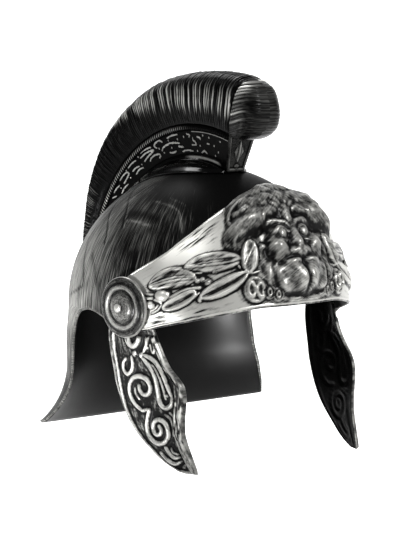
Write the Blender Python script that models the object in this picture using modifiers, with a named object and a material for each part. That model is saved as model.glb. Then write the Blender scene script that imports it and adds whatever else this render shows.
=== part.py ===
"""Gladiator helmet: skull cap with neck guard, crest, brow band with a lion mask, and two cheek guards.

Units are metres. The wearer's left is +X, the front is -Y and up is +Z.
The origin is where the head touches the crown, inside the skull cap.
Working coordinates are (forward, left, height), with heights counted from the line through both rivets.
"""
from collections import namedtuple
from math import atan2, copysign, cos, pi, radians, sin, sqrt

import bmesh
import bpy
from mathutils import Matrix, Vector

# Skull cap
CROWN = 0.096
BELT = -0.008
SKULL_FRONT = 0.103
SKULL_REAR = 0.1125
SKULL_SIDE = 0.0938
SKULL_WALL = 0.002
PLAN_POWER = 2.14
DOME_POWER = 1.96
DOME_DROP = 0.100

# Neck guard, and the arch over each ear
ARCH_START = radians(100.0)
NECK_REAR = 0.1130
NECK_SIDE = 0.0985
NECK_WIDENS = 0.5
NECK_FLARE = 0.0216
FLARE_POWER = 4.5
RIM_CORNER = -0.0935
RIM_CORNER_REACH = -0.0663
RIM_SLOPE = 0.2235

# Brow band
BAND_FRONT = 0.107
BAND_REAR = 0.114
BAND_SIDE = 0.1002
BAND_CROWN = 0.1002
BAND_PLAN_POWER = 2.08
BAND_POWER = 1.93
BAND_END_BELT = 0.006
BAND_LIFTS_FROM = radians(50.0)
BAND_LIFTS_TO = radians(70.0)
BAND_WALL = 0.002
BAND_END = radians(87.0)
EGG_ROOT = 0.0010

# Rivets, bosses and the seat of each cheek guard
RIVET_FORWARD = 0.0222
RIVET_SIDE = 0.0984
RIVET_TILT = radians(7.5)
RIVET_DROP = radians(1.0)
SHANK_RADIUS = 0.0020
HOLE_RADIUS = 0.0023
GAP = 0.0003

# Cheek guards
GUARD_WALL = 0.0020
SCROLL_WIRE = 0.0016
SCROLL_TIGHTENS = 0.72
GUARD_SEAT = -0.0035
GUARD_DISC = 0.0120
GUARD_BEND_FROM = 0.004
GUARD_BEND_TOP = 9.5
GUARD_BEND_LOW = 2.1
BEND_EASES_FROM = 0.016
BEND_EASES_TO = 0.046
BORDER_START = 0.018
BORDER_FULL = 0.028
BORDER_WIDTH = 0.020

# Crest
CREST_CENTRE = (-0.0025, -0.0023)
ROPE_RADIUS = 0.1275
ROPE_THICK = 0.0046
ROPE_HALF = 0.0128
STRIP_HALF = 0.0105
STRIP_LOW_HALF = 0.0078
FOOT_HALF = 0.0092
PLINTH_SEAT = 0.0007
HOLDER_SEAT = 0.0006
HOLDER_WALL = 0.0024
CREST_FRONT = radians(17.4)
CREST_REAR = radians(-93.0)
LOCK_DEPTH = 0.0011
HAIR_STEPS = 54
FAN_STEPS = 16
FAN_ROOT = 0.003
PLINTH_FLAT = 0.0165
PLINTH_EDGE = 0.0009

# Tables. Angles in degrees from the front, heights and lengths in millimetres.
Edge = namedtuple("Edge", "angle height")
SKULL_BROW = [
    Edge(0, 9.0), Edge(20, 8.0), Edge(38, 3.5), Edge(54, -2.0), Edge(64, -6.0), Edge(72, -9.5),
    Edge(80, -11.5), Edge(88, -12.0), Edge(93, -11.5), Edge(96, -10.6), Edge(98, -9.7), Edge(100, -8.6),
]
BAND_LOW = [
    Edge(0, 3.3), Edge(18, 2.8), Edge(34, -1.1), Edge(51, -7.2), Edge(63, -12.0), Edge(68.2, -14.6),
    Edge(75, -16.4), Edge(80, -15.0), Edge(84, -11.0), Edge(87, -5.0),
]
BAND_HIGH = [
    Edge(0, 82.5), Edge(6, 82.0), Edge(21, 77.8), Edge(28.5, 73.6), Edge(39.6, 65.7), Edge(53.6, 51.2),
    Edge(64.5, 37.1), Edge(70.9, 30.3), Edge(77.2, 23.0), Edge(82, 15.0), Edge(87, 5.0),
]
ArchRow = namedtuple("ArchRow", "fall angle")
EAR_ARCH = [
    ArchRow(0.0, 100.0), ArchRow(0.015, 102.5), ArchRow(0.056, 109.2), ArchRow(0.105, 112.6), ArchRow(0.256, 114.3),
    ArchRow(0.49, 114.3), ArchRow(0.72, 113.6), ArchRow(0.865, 115.2), ArchRow(1.0, 117.2),
]
NECK_FALLS = [0.03, 0.065, 0.12, 0.24, 0.42, 0.60, 0.75, 0.88, 1.0]
Motif = namedtuple("Motif", "angle height long wide tilt rise")
GARLAND = [
    Motif(68.0, 10.5, 7, 3, 0, 1.2), Motif(68.0, 7.2, 7, 3, 0, 1.2), Motif(64.8, 2.9, 11, 7, 0, 2.0),
    Motif(62.1, 10.6, 6, 6, 0, 2.6), Motif(59.2, 23.2, 34, 13, 32, 3.4), Motif(53.4, 8.0, 26, 11, 34, 3.2),
    Motif(47.3, 21.4, 6, 6, 0, 2.8), Motif(43.9, 21.4, 6, 6, 0, 2.8), Motif(45.5, 9.5, 7, 7, 0, 2.8),
    Motif(40.0, 36.5, 36, 13, 24, 3.8), Motif(36.4, 18.6, 34, 13, 36, 3.8),
]
MASK_SIDES = [
    Motif(23.0, 38.8, 22, 13, 76, 4.2), Motif(22.7, 16.1, 19, 17, 0, 4.0), Motif(25.5, 56.5, 26, 14, 40, 8.5),
    Motif(20.5, 69.5, 24, 14, 24, 11.0), Motif(7.2, 52.5, 12, 8, 10, 8.5), Motif(9.5, 43.0, 15, 16, 60, 9.0),
    Motif(14.0, 27.0, 22, 9, 80, 6.0), Motif(12.5, 62.0, 20, 9, 16, 9.5), Motif(9.0, 76.0, 24, 11, 60, 9.5),
    Motif(10.8, 14.0, 14, 12, 60, 4.5), Motif(4.6, 33.5, 13, 12, 25, 9.5),
]
MASK_MIDDLE = [
    Motif(0, 43.0, 32, 9, 90, 10.0), Motif(0, 38.5, 9, 14, 90, 11.5), Motif(0, 20.5, 21, 22, 0, 10.0),
    Motif(0, 65.0, 30, 14, 90, 9.5), Motif(0, 78.5, 16, 14, 90, 8.5), Motif(0, 44.0, 66, 46, 90, 5.0),
]
BorderRow = namedtuple("BorderRow", "share rise")
GUARD_BORDER = [
    BorderRow(0.0, 0.0), BorderRow(0.07, 1.4), BorderRow(0.17, 0.0), BorderRow(0.5, 0.0), BorderRow(0.83, 0.0),
    BorderRow(0.93, 1.4), BorderRow(1.0, 0.0),
]
GuardRow = namedtuple("GuardRow", "down rear front")
GUARD_OUTLINE = [
    GuardRow(14, 19.5, 20.2), GuardRow(23, 20.2, 24.3), GuardRow(32, 19.2, 29.3), GuardRow(41, 17.2, 36.1),
    GuardRow(48, 15.6, 43.6), GuardRow(55, 13.7, 48.7), GuardRow(63, 10.2, 49.9), GuardRow(71, 6.0, 49.3),
    GuardRow(79, 0.6, 48.5), GuardRow(87, -6.2, 48.5), GuardRow(95, -14.7, 50.5), GuardRow(102, -25.0, 53.2),
    GuardRow(109, -35.2, 56.0), GuardRow(114, -46.2, 57.9), GuardRow(117, -54.5, 58.5),
]
Scroll = namedtuple("Scroll", "ahead down radius start turns")
GUARD_SCROLLS = [
    Scroll(2, 27, 6.0, 20, -0.75), Scroll(-2, 45, 4.6, 60, 0.8), Scroll(13.4, 58.7, 9.0, 160, 1.5),
    Scroll(28.3, 86.4, 6.5, 150, 1.25), Scroll(33, 70, 5.5, 60, -0.7), Scroll(40, 102, 4.6, 200, 0.8),
]
PlinthRow = namedtuple("PlinthRow", "angle top half")
PLINTH = [
    PlinthRow(17.4, 100.8, 10), PlinthRow(12, 102.2, 21), PlinthRow(2, 102.9, 28), PlinthRow(-12, 103.7, 31),
    PlinthRow(-28, 105.2, 31), PlinthRow(-45, 107.6, 29), PlinthRow(-62, 110.2, 26), PlinthRow(-78, 112.6, 22),
    PlinthRow(-90, 113.8, 18), PlinthRow(-97, 113.6, 12),
]
HairRow = namedtuple("HairRow", "angle length half")
HAIR = [
    HairRow(-97, 5, 12), HairRow(-92, 7.5, 13.5), HairRow(-82, 9.5, 15.5), HairRow(-70, 13, 17), HairRow(-55, 20, 18),
    HairRow(-40, 27, 18.2), HairRow(-25, 33, 18.2), HairRow(-10, 37.5, 18.2), HairRow(5, 40, 18),
    HairRow(17.4, 43.0, 18),
]
FAN = [
    HairRow(32, 43.5, 18), HairRow(45, 40, 17.5), HairRow(58, 35.5, 17), HairRow(70, 30, 16.5),
    HairRow(80, 24, 15.5), HairRow(90, 16.5, 14), HairRow(98, 10, 12.5),
]
Lobe = namedtuple("Lobe", "reach half")
HAIR_SECTION = [Lobe(0.0, 0.70), Lobe(0.36, 0.95), Lobe(0.70, 0.97), Lobe(0.92, 0.58), Lobe(1.0, 0.0)]
Turning = namedtuple("Turning", "radius height")
BOSS_PROFILE = [
    Turning(4.4, 6.6), Turning(9.0, 5.6), Turning(12.6, 2.9), Turning(14.0, 4.5), Turning(16.2, 4.5), Turning(17.4, 3.2),
    Turning(20.6, 3.4), Turning(22.2, 1.6), Turning(22.2, -0.4), Turning(19.6, -0.4), Turning(17.4, 1.4), Turning(10.0, 1.6),
    Turning(7.0, 3.8),
]

MM = 0.001


def spot(forward, left, height):
    """Turn working coordinates into the part's frame, whose origin is under the crown's wall."""
    return Vector((left, -forward, height - (CROWN - SKULL_WALL)))


def smooth_value(rows, key, field, at):
    """Read a column of a table between its rows, on a curve without overshoot."""
    keys = [getattr(row, key) for row in rows]
    values = [getattr(row, field) for row in rows]
    if keys[0] > keys[-1]:
        keys.reverse()
        values.reverse()
    if at <= keys[0]:
        return values[0]
    if at >= keys[-1]:
        return values[-1]
    place = max(i for i in range(len(keys) - 1) if keys[i] <= at)
    span = keys[place + 1] - keys[place]
    rises = [(values[i + 1] - values[i]) / (keys[i + 1] - keys[i]) for i in range(len(keys) - 1)]

    def slope(i):
        if i == 0:
            return rises[0]
        if i == len(rises):
            return rises[-1]
        if rises[i - 1] * rises[i] <= 0:
            return 0.0
        return 2 * rises[i - 1] * rises[i] / (rises[i - 1] + rises[i])

    u = (at - keys[place]) / span
    start, end = values[place], values[place + 1]
    return (
        start * (2 * u ** 3 - 3 * u ** 2 + 1)
        + end * (3 * u ** 2 - 2 * u ** 3)
        + slope(place) * span * (u ** 3 - 2 * u ** 2 + u)
        + slope(place + 1) * span * (u ** 3 - u ** 2)
    )


def smooth_step(value, low, high):
    """Rise from 0 to 1 without a corner between two values."""
    share = min(1.0, max(0.0, (value - low) / (high - low)))
    return share * share * (3 - 2 * share)


def plan(angle, front, rear, side, plan_power=PLAN_POWER):
    """Forward and left reach of an egg-shaped outline at an angle from the front."""
    c, s = cos(angle), sin(angle)
    length = front if c > 0 else rear
    power = 2 / plan_power
    return length * copysign(abs(c) ** power, c), side * copysign(abs(s) ** power, s)


def dome_shrink(height, belt, crown, power):
    """How much of the outline is left at a height over the belt."""
    if height <= belt:
        return 1.0
    share = min(1.0, (height - belt) / (crown - belt))
    return (1 - share ** power) ** (1 / power)


def skull_point(angle, height, lift=0.0):
    """A point on the skull cap's outer side, or lifted off it."""
    forward, left = plan(angle, SKULL_FRONT + lift, SKULL_REAR + lift, SKULL_SIDE + lift)
    shrink = dome_shrink(height, BELT, CROWN + lift, DOME_POWER)
    return spot(forward * shrink, left * shrink, height)


def band_point(angle, height, lift=0.0):
    """A point on the brow band's outer side, or lifted off it."""
    forward, left = plan(angle, BAND_FRONT + lift, BAND_REAR + lift, BAND_SIDE + lift, BAND_PLAN_POWER)
    belt = BELT + (BAND_END_BELT - BELT) * smooth_step(abs(angle), BAND_LIFTS_FROM, BAND_LIFTS_TO)
    shrink = dome_shrink(height, belt, BAND_CROWN + lift, BAND_POWER)
    return spot(forward * shrink, left * shrink, height)


def skull_height(turn):
    """Height of the skull cap at a turn down from the crown, where 1 is the belt."""
    if turn >= 1:
        return BELT - (turn - 1) * DOME_DROP
    return BELT + (CROWN - BELT) * cos(turn * pi / 2) ** (2 / DOME_POWER)


def brow_turn(height):
    """The turn at which the skull cap reaches a height."""
    if height <= BELT:
        return 1 + (BELT - height) / DOME_DROP
    share = (height - BELT) / (CROWN - BELT)
    return atan2(sqrt(1 - share ** DOME_POWER), share ** (DOME_POWER / 2)) / (pi / 2)


def neck_point(share, fall):
    """A point on the neck guard, by its share from the ear edge to the rear and its fall to the rim."""
    edge = radians(smooth_value(EAR_ARCH, "fall", "angle", fall))
    angle = edge + (pi - edge) * share
    flare = NECK_FLARE * fall ** FLARE_POWER
    widening = smooth_step(fall, 0, NECK_WIDENS)
    side = SKULL_SIDE + (NECK_SIDE - SKULL_SIDE) * widening
    rear = SKULL_REAR + (NECK_REAR - SKULL_REAR) * widening
    forward, left = plan(angle, SKULL_FRONT, rear + flare, side + flare)
    rim_forward, _ = plan(angle, SKULL_FRONT, NECK_REAR + NECK_FLARE, NECK_SIDE + NECK_FLARE)
    rim = RIM_CORNER + (rim_forward - RIM_CORNER_REACH) * RIM_SLOPE
    return spot(forward, left, BELT + (rim - BELT) * fall)


def link(obj, collection):
    """Move an object into one collection only."""
    for other in list(obj.users_collection):
        other.objects.unlink(obj)
    collection.objects.link(obj)


def mesh_object(name, points, faces, material, collection):
    """Make a mesh object from points and faces, with its faces pointing out."""
    mesh = bpy.data.meshes.new(name)
    mesh.from_pydata(points, [], faces)
    work = bmesh.new()
    work.from_mesh(mesh)
    bmesh.ops.recalc_face_normals(work, faces=work.faces)
    work.to_mesh(mesh)
    work.free()
    if material:
        mesh.materials.append(material)
    mesh.shade_smooth()
    mesh.set_sharp_from_angle(angle=radians(40))
    obj = bpy.data.objects.new(name, mesh)
    collection.objects.link(obj)
    return obj


def loft(name, sections, material, collection):
    """Skin a row of closed sections and close both ends."""
    count = len(sections[0])
    points = [point for section in sections for point in section]
    faces = [tuple(range(count)), tuple(range(len(points) - count, len(points)))]
    for row in range(len(sections) - 1):
        for i in range(count):
            j = (i + 1) % count
            faces.append((row * count + i, row * count + j, (row + 1) * count + j, (row + 1) * count + i))
    return mesh_object(name, points, faces, material, collection)


def grid_faces(rows, columns, start=0):
    """Quads of a grid whose points are stored row by row."""
    faces = []
    for row in range(rows - 1):
        for column in range(columns - 1):
            low = start + row * columns + column
            faces.append((low, low + 1, low + columns + 1, low + columns))
    return faces


def thicken(obj, wall):
    """Give an open surface its wall, on the inner side."""
    modifier = obj.modifiers.new("wall", "SOLIDIFY")
    modifier.thickness = wall
    modifier.offset = -1
    modifier.use_even_offset = True
    modifier.use_quality_normals = True


def point_out(obj, outward):
    """Turn an open surface's faces so that its first face looks outward."""
    if obj.data.polygons[0].normal.dot(outward) < 0:
        obj.data.flip_normals()


def mirror_sides(obj):
    """Add the other side of a half that is open at the middle."""
    modifier = obj.modifiers.new("other side", "MIRROR")
    modifier.use_axis = (True, False, False)
    modifier.use_clip = True
    modifier.merge_threshold = 0.0001


def combine(obj, tool, operation, overlapping=False):
    """Cut a piece with a tool, or join the tool to it."""
    modifier = obj.modifiers.new(tool.name, "BOOLEAN")
    modifier.operation = operation
    modifier.object = tool
    modifier.solver = "EXACT"
    modifier.use_self = overlapping
    tool.hide_render = True
    tool.display_type = "WIRE"


def plain_material(name, colour, metallic, roughness):
    """A Principled material with one colour."""
    material = bpy.data.materials.new(name)
    material.use_nodes = True
    shader = material.node_tree.nodes["Principled BSDF"]
    shader.inputs["Base Color"].default_value = (*colour, 1.0)
    shader.inputs["Metallic"].default_value = metallic
    shader.inputs["Roughness"].default_value = roughness
    return material


def frame_matrix(origin, along, up, out):
    """Matrix with its X along, Y up and Z out, placed at an origin."""
    matrix = Matrix((along, up, out)).transposed().to_4x4()
    matrix.translation = origin
    return matrix


def rivet_frame(side):
    """Matrix of the rivet: Z out along its axis, Y up, and X forward on the right side, back on the left."""
    out = Vector((side * cos(RIVET_TILT) * cos(RIVET_DROP), -sin(RIVET_TILT) * cos(RIVET_DROP), -sin(RIVET_DROP)))
    along = Vector((0, 0, 1)).cross(out).normalized()
    return frame_matrix(spot(RIVET_FORWARD, side * RIVET_SIDE, 0), along, out.cross(along), out)


def turned(name, profile, steps, material, collection):
    """Turn a closed profile, given in millimetres, about Z."""
    mesh = bpy.data.meshes.new(name)
    points = [(radius * MM, 0, height * MM) for radius, height in profile]
    edges = [(i, (i + 1) % len(points)) for i in range(len(points))]
    mesh.from_pydata(points, edges, [])
    obj = bpy.data.objects.new(name, mesh)
    collection.objects.link(obj)
    if material:
        mesh.materials.append(material)
    modifier = obj.modifiers.new("turn", "SCREW")
    modifier.steps = steps
    modifier.render_steps = steps
    modifier.use_merge_vertices = True
    modifier.merge_threshold = 0.00001
    return obj


def hole_tool(name, side, collection):
    """A drill on the rivet's axis, long enough for every wall."""
    bpy.ops.mesh.primitive_cylinder_add(vertices=16, radius=HOLE_RADIUS, depth=0.040)
    drill = bpy.context.object
    drill.name = name
    drill.matrix_world = rivet_frame(side)
    link(drill, collection)
    return drill


def make_skull(material, parts, cutters):
    """Skull cap and neck guard in one wall, with an arch over each ear."""
    front_columns, rear_columns, dome_rows = 12, 8, 8
    columns = [ARCH_START * i / front_columns for i in range(front_columns)]
    columns += [ARCH_START + (pi - ARCH_START) * i / rear_columns for i in range(rear_columns + 1)]
    points = [skull_point(0, CROWN)]
    for row in range(1, dome_rows + 1):
        for angle in columns:
            brow = smooth_value(SKULL_BROW, "angle", "height", angle * 180 / pi) * MM
            last = brow_turn(brow if angle < ARCH_START else BELT)
            points.append(skull_point(angle, skull_height(last * row / dome_rows)))
    width = len(columns)
    faces = [(0, 1 + i, 2 + i) for i in range(width - 1)]
    faces += grid_faces(dome_rows, width, 1)
    above = [1 + (dome_rows - 1) * width + front_columns + i for i in range(rear_columns + 1)]
    for fall in NECK_FALLS:
        below = []
        for i in range(rear_columns + 1):
            below.append(len(points))
            points.append(neck_point(i / rear_columns, fall))
        faces += [(above[i], above[i + 1], below[i + 1], below[i]) for i in range(rear_columns)]
        above = below
    skull = mesh_object("skull_shell", points, faces, material, parts)
    point_out(skull, Vector((0, 0, 1)))
    mirror_sides(skull)
    thicken(skull, SKULL_WALL)
    for side in (1, -1):
        combine(skull, hole_tool(f"skull_drill_{side}", side, cutters), "DIFFERENCE")
    return skull


def band_patch(angle, height, ahead, up, lift):
    """A point on the band near a place, by its distance along the band, up the band and off it."""
    step = 0.001
    here = band_point(angle, height)
    along = (band_point(angle - step, height) - here).length / step
    upward = (band_point(angle, height + step) - here).length / step
    return band_point(angle - ahead / along, height + up / upward, lift)


def add_egg(work, motif, side):
    """Add one half egg of relief to a growing mesh, bent to follow the band, with its root in the wall."""
    made = bmesh.ops.create_uvsphere(work, u_segments=6, v_segments=5, radius=1.0)
    turn = radians(motif.tilt)
    for vert in made["verts"]:
        x, y, z = vert.co
        long, wide = x * motif.long * MM / 2, y * motif.wide * MM / 2
        lift = z * motif.rise * MM if z > 0 else z * EGG_ROOT
        ahead = long * cos(turn) - wide * sin(turn)
        up = long * sin(turn) + wide * cos(turn)
        point = band_patch(radians(motif.angle), motif.height * MM, ahead, up, lift)
        vert.co = Vector((side * point.x, point.y, point.z))
    if side > 0:
        faces = {face for vert in made["verts"] for face in vert.link_faces}
        bmesh.ops.reverse_faces(work, faces=list(faces))


def make_band(material, parts, cutters):
    """Brow band: a curved wall with the garland and the mask raised on it."""
    columns, rows = 15, 6
    points = []
    for column in range(columns):
        angle = BAND_END * column / (columns - 1)
        low = smooth_value(BAND_LOW, "angle", "height", angle * 180 / pi) * MM
        high = smooth_value(BAND_HIGH, "angle", "height", angle * 180 / pi) * MM
        points += [band_point(angle, low + (high - low) * row / (rows - 1)) for row in range(rows)]
    band = mesh_object("brow_band", points, grid_faces(columns, rows), material, parts)
    point_out(band, Vector((0, -1, 0)))
    mirror_sides(band)
    thicken(band, BAND_WALL)
    work = bmesh.new()
    for motif in MASK_MIDDLE:
        add_egg(work, motif, 1)
    for motif in GARLAND + MASK_SIDES:
        for side in (1, -1):
            add_egg(work, motif, side)
    mesh = bpy.data.meshes.new("band_relief")
    work.to_mesh(mesh)
    work.free()
    relief = bpy.data.objects.new("band_relief", mesh)
    cutters.objects.link(relief)
    combine(band, relief, "UNION", overlapping=True)
    for side in (1, -1):
        combine(band, hole_tool(f"band_drill_{side}", side, cutters), "DIFFERENCE")
    return band


def guard_drop(ahead, down):
    """How far the guard bends in towards the face at a place on it."""
    spread = smooth_step(down, BEND_EASES_FROM, BEND_EASES_TO)
    bend = GUARD_BEND_TOP + (GUARD_BEND_LOW - GUARD_BEND_TOP) * spread
    return bend * max(0.0, ahead - GUARD_BEND_FROM) ** 2


def guard_point(ahead, down, lift=0.0):
    """A point on the left guard's outer side, by its place ahead of and under the rivet."""
    out = GUARD_SEAT - guard_drop(ahead, down) + lift
    return rivet_frame(1) @ Vector((-ahead, -down, out))


def guard_limits(down):
    """Rear and front reach of the guard's outline at a depth under the rivet."""
    if down < GUARD_OUTLINE[0].down * MM:
        half = sqrt(max(0.0, GUARD_DISC ** 2 - min(0.0, down) ** 2))
        share = max(0.0, down) / (GUARD_OUTLINE[0].down * MM)
        rear = half + (GUARD_OUTLINE[0].rear * MM - GUARD_DISC) * share ** 2
        front = half + (GUARD_OUTLINE[0].front * MM - GUARD_DISC) * share ** 2
        return -rear, front
    rear = smooth_value(GUARD_OUTLINE, "down", "rear", down / MM) * MM
    front = smooth_value(GUARD_OUTLINE, "down", "front", down / MM) * MM
    return -rear, front


def scroll_tool(name, scroll, collection):
    """A raised scroll on the guard: a tube along a flat spiral."""
    count = max(6, int(abs(scroll.turns) * 8))
    curve = bpy.data.curves.new(name, "CURVE")
    curve.dimensions = "3D"
    curve.bevel_depth = SCROLL_WIRE
    curve.bevel_resolution = 0
    curve.use_fill_caps = True
    spline = curve.splines.new("POLY")
    spline.points.add(count - 1)
    for i, point in enumerate(spline.points):
        share = i / (count - 1)
        angle = radians(scroll.start) + scroll.turns * 2 * pi * share
        radius = scroll.radius * MM * (1 - SCROLL_TIGHTENS * share)
        ahead = scroll.ahead * MM + radius * cos(angle)
        down = scroll.down * MM - radius * sin(angle)
        point.co = (*guard_point(ahead, down, 0.0001), 1)
    source = bpy.data.objects.new(name + "_curve", curve)
    collection.objects.link(source)
    return welded_copy(name, source, collection)


def welded_copy(name, source, collection):
    """Turn a curve object into a closed mesh object and remove the curve."""
    graph = bpy.context.evaluated_depsgraph_get()
    graph.update()
    mesh = bpy.data.meshes.new_from_object(source.evaluated_get(graph))
    work = bmesh.new()
    work.from_mesh(mesh)
    bmesh.ops.remove_doubles(work, verts=work.verts, dist=0.00001)
    work.to_mesh(mesh)
    work.free()
    copy = bpy.data.objects.new(name, mesh)
    copy.matrix_world = source.matrix_world
    collection.objects.link(copy)
    bpy.data.objects.remove(source)
    return copy


def make_guard(material, parts, cutters):
    """Left cheek guard: a bent plate with a raised border and scrolls, its origin at the rivet."""
    name = "cheek_guard_left"
    depths = [-0.95 * GUARD_DISC, -0.75 * GUARD_DISC, -0.4 * GUARD_DISC, 0.0, 0.007]
    depths += [row.down * MM for row in GUARD_OUTLINE]
    points = []
    for down in depths:
        rear, front = guard_limits(down)
        fade = smooth_step(down, BORDER_START, BORDER_FULL) * min(1.0, (front - rear) / BORDER_WIDTH)
        for row in GUARD_BORDER:
            points.append(guard_point(rear + (front - rear) * row.share, down, row.rise * MM * fade))
    guard = mesh_object(name, points, grid_faces(len(depths), len(GUARD_BORDER)), material, parts)
    point_out(guard, Vector((1, 0, 0)))
    hinge = rivet_frame(1).translation
    guard.data.transform(Matrix.Translation(-hinge))
    guard.location = hinge
    thicken(guard, GUARD_WALL)
    for i, scroll in enumerate(GUARD_SCROLLS):
        combine(guard, scroll_tool(f"scroll_{i}", scroll, cutters), "UNION")
    combine(guard, hole_tool("guard_drill", 1, cutters), "DIFFERENCE")
    return guard


def mirrored_copy(name, source, collection):
    """The other side's piece: the finished mesh mirrored across the middle, with its own origin."""
    graph = bpy.context.evaluated_depsgraph_get()
    graph.update()
    mesh = bpy.data.meshes.new_from_object(source.evaluated_get(graph))
    mesh.name = name
    mesh.transform(Matrix.Scale(-1, 4, Vector((1, 0, 0))))
    mesh.flip_normals()
    copy = bpy.data.objects.new(name, mesh)
    copy.location = (-source.location.x, source.location.y, source.location.z)
    collection.objects.link(copy)
    return copy


def make_boss(name, side, material, parts):
    """Round boss with rings, hollow at its back."""
    profile = [(HOLE_RADIUS / MM, 6.9)] + list(BOSS_PROFILE) + [(HOLE_RADIUS / MM, 3.8)]
    boss = turned(name, profile, 16, material, parts)
    boss.matrix_world = rivet_frame(side)
    return boss


def make_rivet(name, side, material, parts):
    """Rivet with a round head on the boss and a flat head inside the skull cap."""
    shank = SHANK_RADIUS / MM
    profile = [
        (0.0, 9.4), (2.0, 9.0), (3.2, 8.2), (3.6, 7.2), (shank, 7.2),
        (shank, -10.6), (5.0, -10.6), (4.6, -11.7), (0.0, -11.9),
    ]
    mesh = bpy.data.meshes.new(name)
    mesh.from_pydata([(r * MM, 0, h * MM) for r, h in profile], [(i, i + 1) for i in range(len(profile) - 1)], [])
    mesh.materials.append(material)
    rivet = bpy.data.objects.new(name, mesh)
    parts.objects.link(rivet)
    modifier = rivet.modifiers.new("turn", "SCREW")
    modifier.steps = 12
    modifier.render_steps = 12
    modifier.use_merge_vertices = True
    modifier.merge_threshold = 0.00001
    rivet.matrix_world = rivet_frame(side)
    return rivet


def crest_point(angle, radius, left):
    """A point of the crest, by its angle ahead of the top and its radius about the crest's centre."""
    return spot(CREST_CENTRE[0] + radius * sin(angle), left, CREST_CENTRE[1] + radius * cos(angle))


def dome_radius(angle, left):
    """Radius about the crest's centre at which the skull cap's outer side lies."""
    low, high = 0.080, 0.125
    for _ in range(24):
        middle = (low + high) / 2
        forward = CREST_CENTRE[0] + middle * sin(angle)
        height = CREST_CENTRE[1] + middle * cos(angle)
        length = SKULL_FRONT if forward > 0 else SKULL_REAR
        outline = ((abs(forward) / length) ** PLAN_POWER + (abs(left) / SKULL_SIDE) ** PLAN_POWER) ** (1 / PLAN_POWER)
        rise = max(0.0, height - BELT) / (CROWN - BELT)
        if outline ** DOME_POWER + rise ** DOME_POWER < 1:
            low = middle
        else:
            high = middle
    return low


def plinth_top(angle):
    """Radius of the plinth's top, and so of the holder's seat."""
    return smooth_value(PLINTH, "angle", "top", angle * 180 / pi) * MM


def make_plinth(material, parts):
    """Raised saddle that lies on the skull cap under the crest."""
    stations = 20
    sections = []
    for i in range(stations):
        angle = radians(PLINTH[0].angle + (PLINTH[-1].angle - PLINTH[0].angle) * i / (stations - 1))
        half = smooth_value(PLINTH, "angle", "half", angle * 180 / pi) * MM
        top = plinth_top(angle)
        flat = min(PLINTH_FLAT, half * 0.75)
        section = []
        for left in (half, flat, 0.0, -flat, -half):
            seat = dome_radius(angle, left) + PLINTH_SEAT
            over = seat + PLINTH_EDGE if abs(left) == half else max(seat + PLINTH_EDGE, top)
            section.append(crest_point(angle, over, left))
        for left in (-half, -flat, -flat / 2, 0.0, flat / 2, flat, half):
            section.append(crest_point(angle, dome_radius(angle, left) + PLINTH_SEAT, left))
        sections.append(section)
    return loft("crest_plinth", sections, material, parts)


def box_section(angle, levels):
    """A closed section across the crest, from pairs of radius and half width."""
    right = [crest_point(angle, radius, -half) for radius, half in levels]
    left = [crest_point(angle, radius, half) for radius, half in reversed(levels)]
    return right + left


def make_holder(material, parts, cutters):
    """Crest box: a foot, relief sides and a rope border, hollow and open below."""
    stations = 23
    sections = []
    core = []
    rope_low = ROPE_RADIUS - ROPE_THICK / 2
    for i in range(stations):
        angle = CREST_FRONT + (CREST_REAR - CREST_FRONT) * i / (stations - 1)
        seat = plinth_top(angle) + HOLDER_SEAT
        sections.append(box_section(angle, [
            (seat, FOOT_HALF), (seat + 0.0028, FOOT_HALF), (seat + 0.0038, STRIP_LOW_HALF), (rope_low, STRIP_HALF),
            (rope_low, ROPE_HALF), (rope_low + ROPE_THICK, ROPE_HALF),
        ]))
    holder = loft("crest_holder", sections, material, parts)
    for i in range(stations - 2):
        angle = CREST_FRONT - radians(1.3) + (CREST_REAR - CREST_FRONT + radians(2.6)) * i / (stations - 3)
        seat = plinth_top(angle) + HOLDER_SEAT
        core.append(box_section(angle, [
            (seat - 0.004, STRIP_LOW_HALF - HOLDER_WALL), (seat + 0.004, STRIP_LOW_HALF - HOLDER_WALL),
            (rope_low + 0.0018, STRIP_HALF - HOLDER_WALL),
        ]))
    combine(holder, loft("holder_core", core, None, cutters), "DIFFERENCE")
    return holder


def hair_stations():
    """Rows of the brush: base place, direction, length and half width, from the rear to the bulb in front."""
    base_radius = ROPE_RADIUS + ROPE_THICK / 2 + GAP
    stations = []
    first, last = HAIR[0].angle, HAIR[-1].angle
    for i in range(HAIR_STEPS):
        degrees_ahead = first + (last - first) * i / HAIR_STEPS
        angle = radians(degrees_ahead)
        forward = CREST_CENTRE[0] + base_radius * sin(angle)
        height = CREST_CENTRE[1] + base_radius * cos(angle)
        length = smooth_value(HAIR, "angle", "length", degrees_ahead) * MM
        half = smooth_value(HAIR, "angle", "half", degrees_ahead) * MM
        stations.append((forward, height, angle, length, half))
    pivot_forward = CREST_CENTRE[0] + (base_radius - FAN_ROOT) * sin(radians(last))
    pivot_height = CREST_CENTRE[1] + (base_radius - FAN_ROOT) * cos(radians(last))
    rows = [HAIR[-1]] + FAN
    for i in range(FAN_STEPS + 1):
        degrees_ahead = last + (FAN[-1].angle - last) * i / FAN_STEPS
        angle = radians(degrees_ahead)
        length = smooth_value(rows, "angle", "length", degrees_ahead) * MM
        half = smooth_value(rows, "angle", "half", degrees_ahead) * MM
        forward = pivot_forward + FAN_ROOT * sin(angle)
        height = pivot_height + FAN_ROOT * cos(angle)
        stations.append((forward, height, angle, length, half))
    return stations


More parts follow.
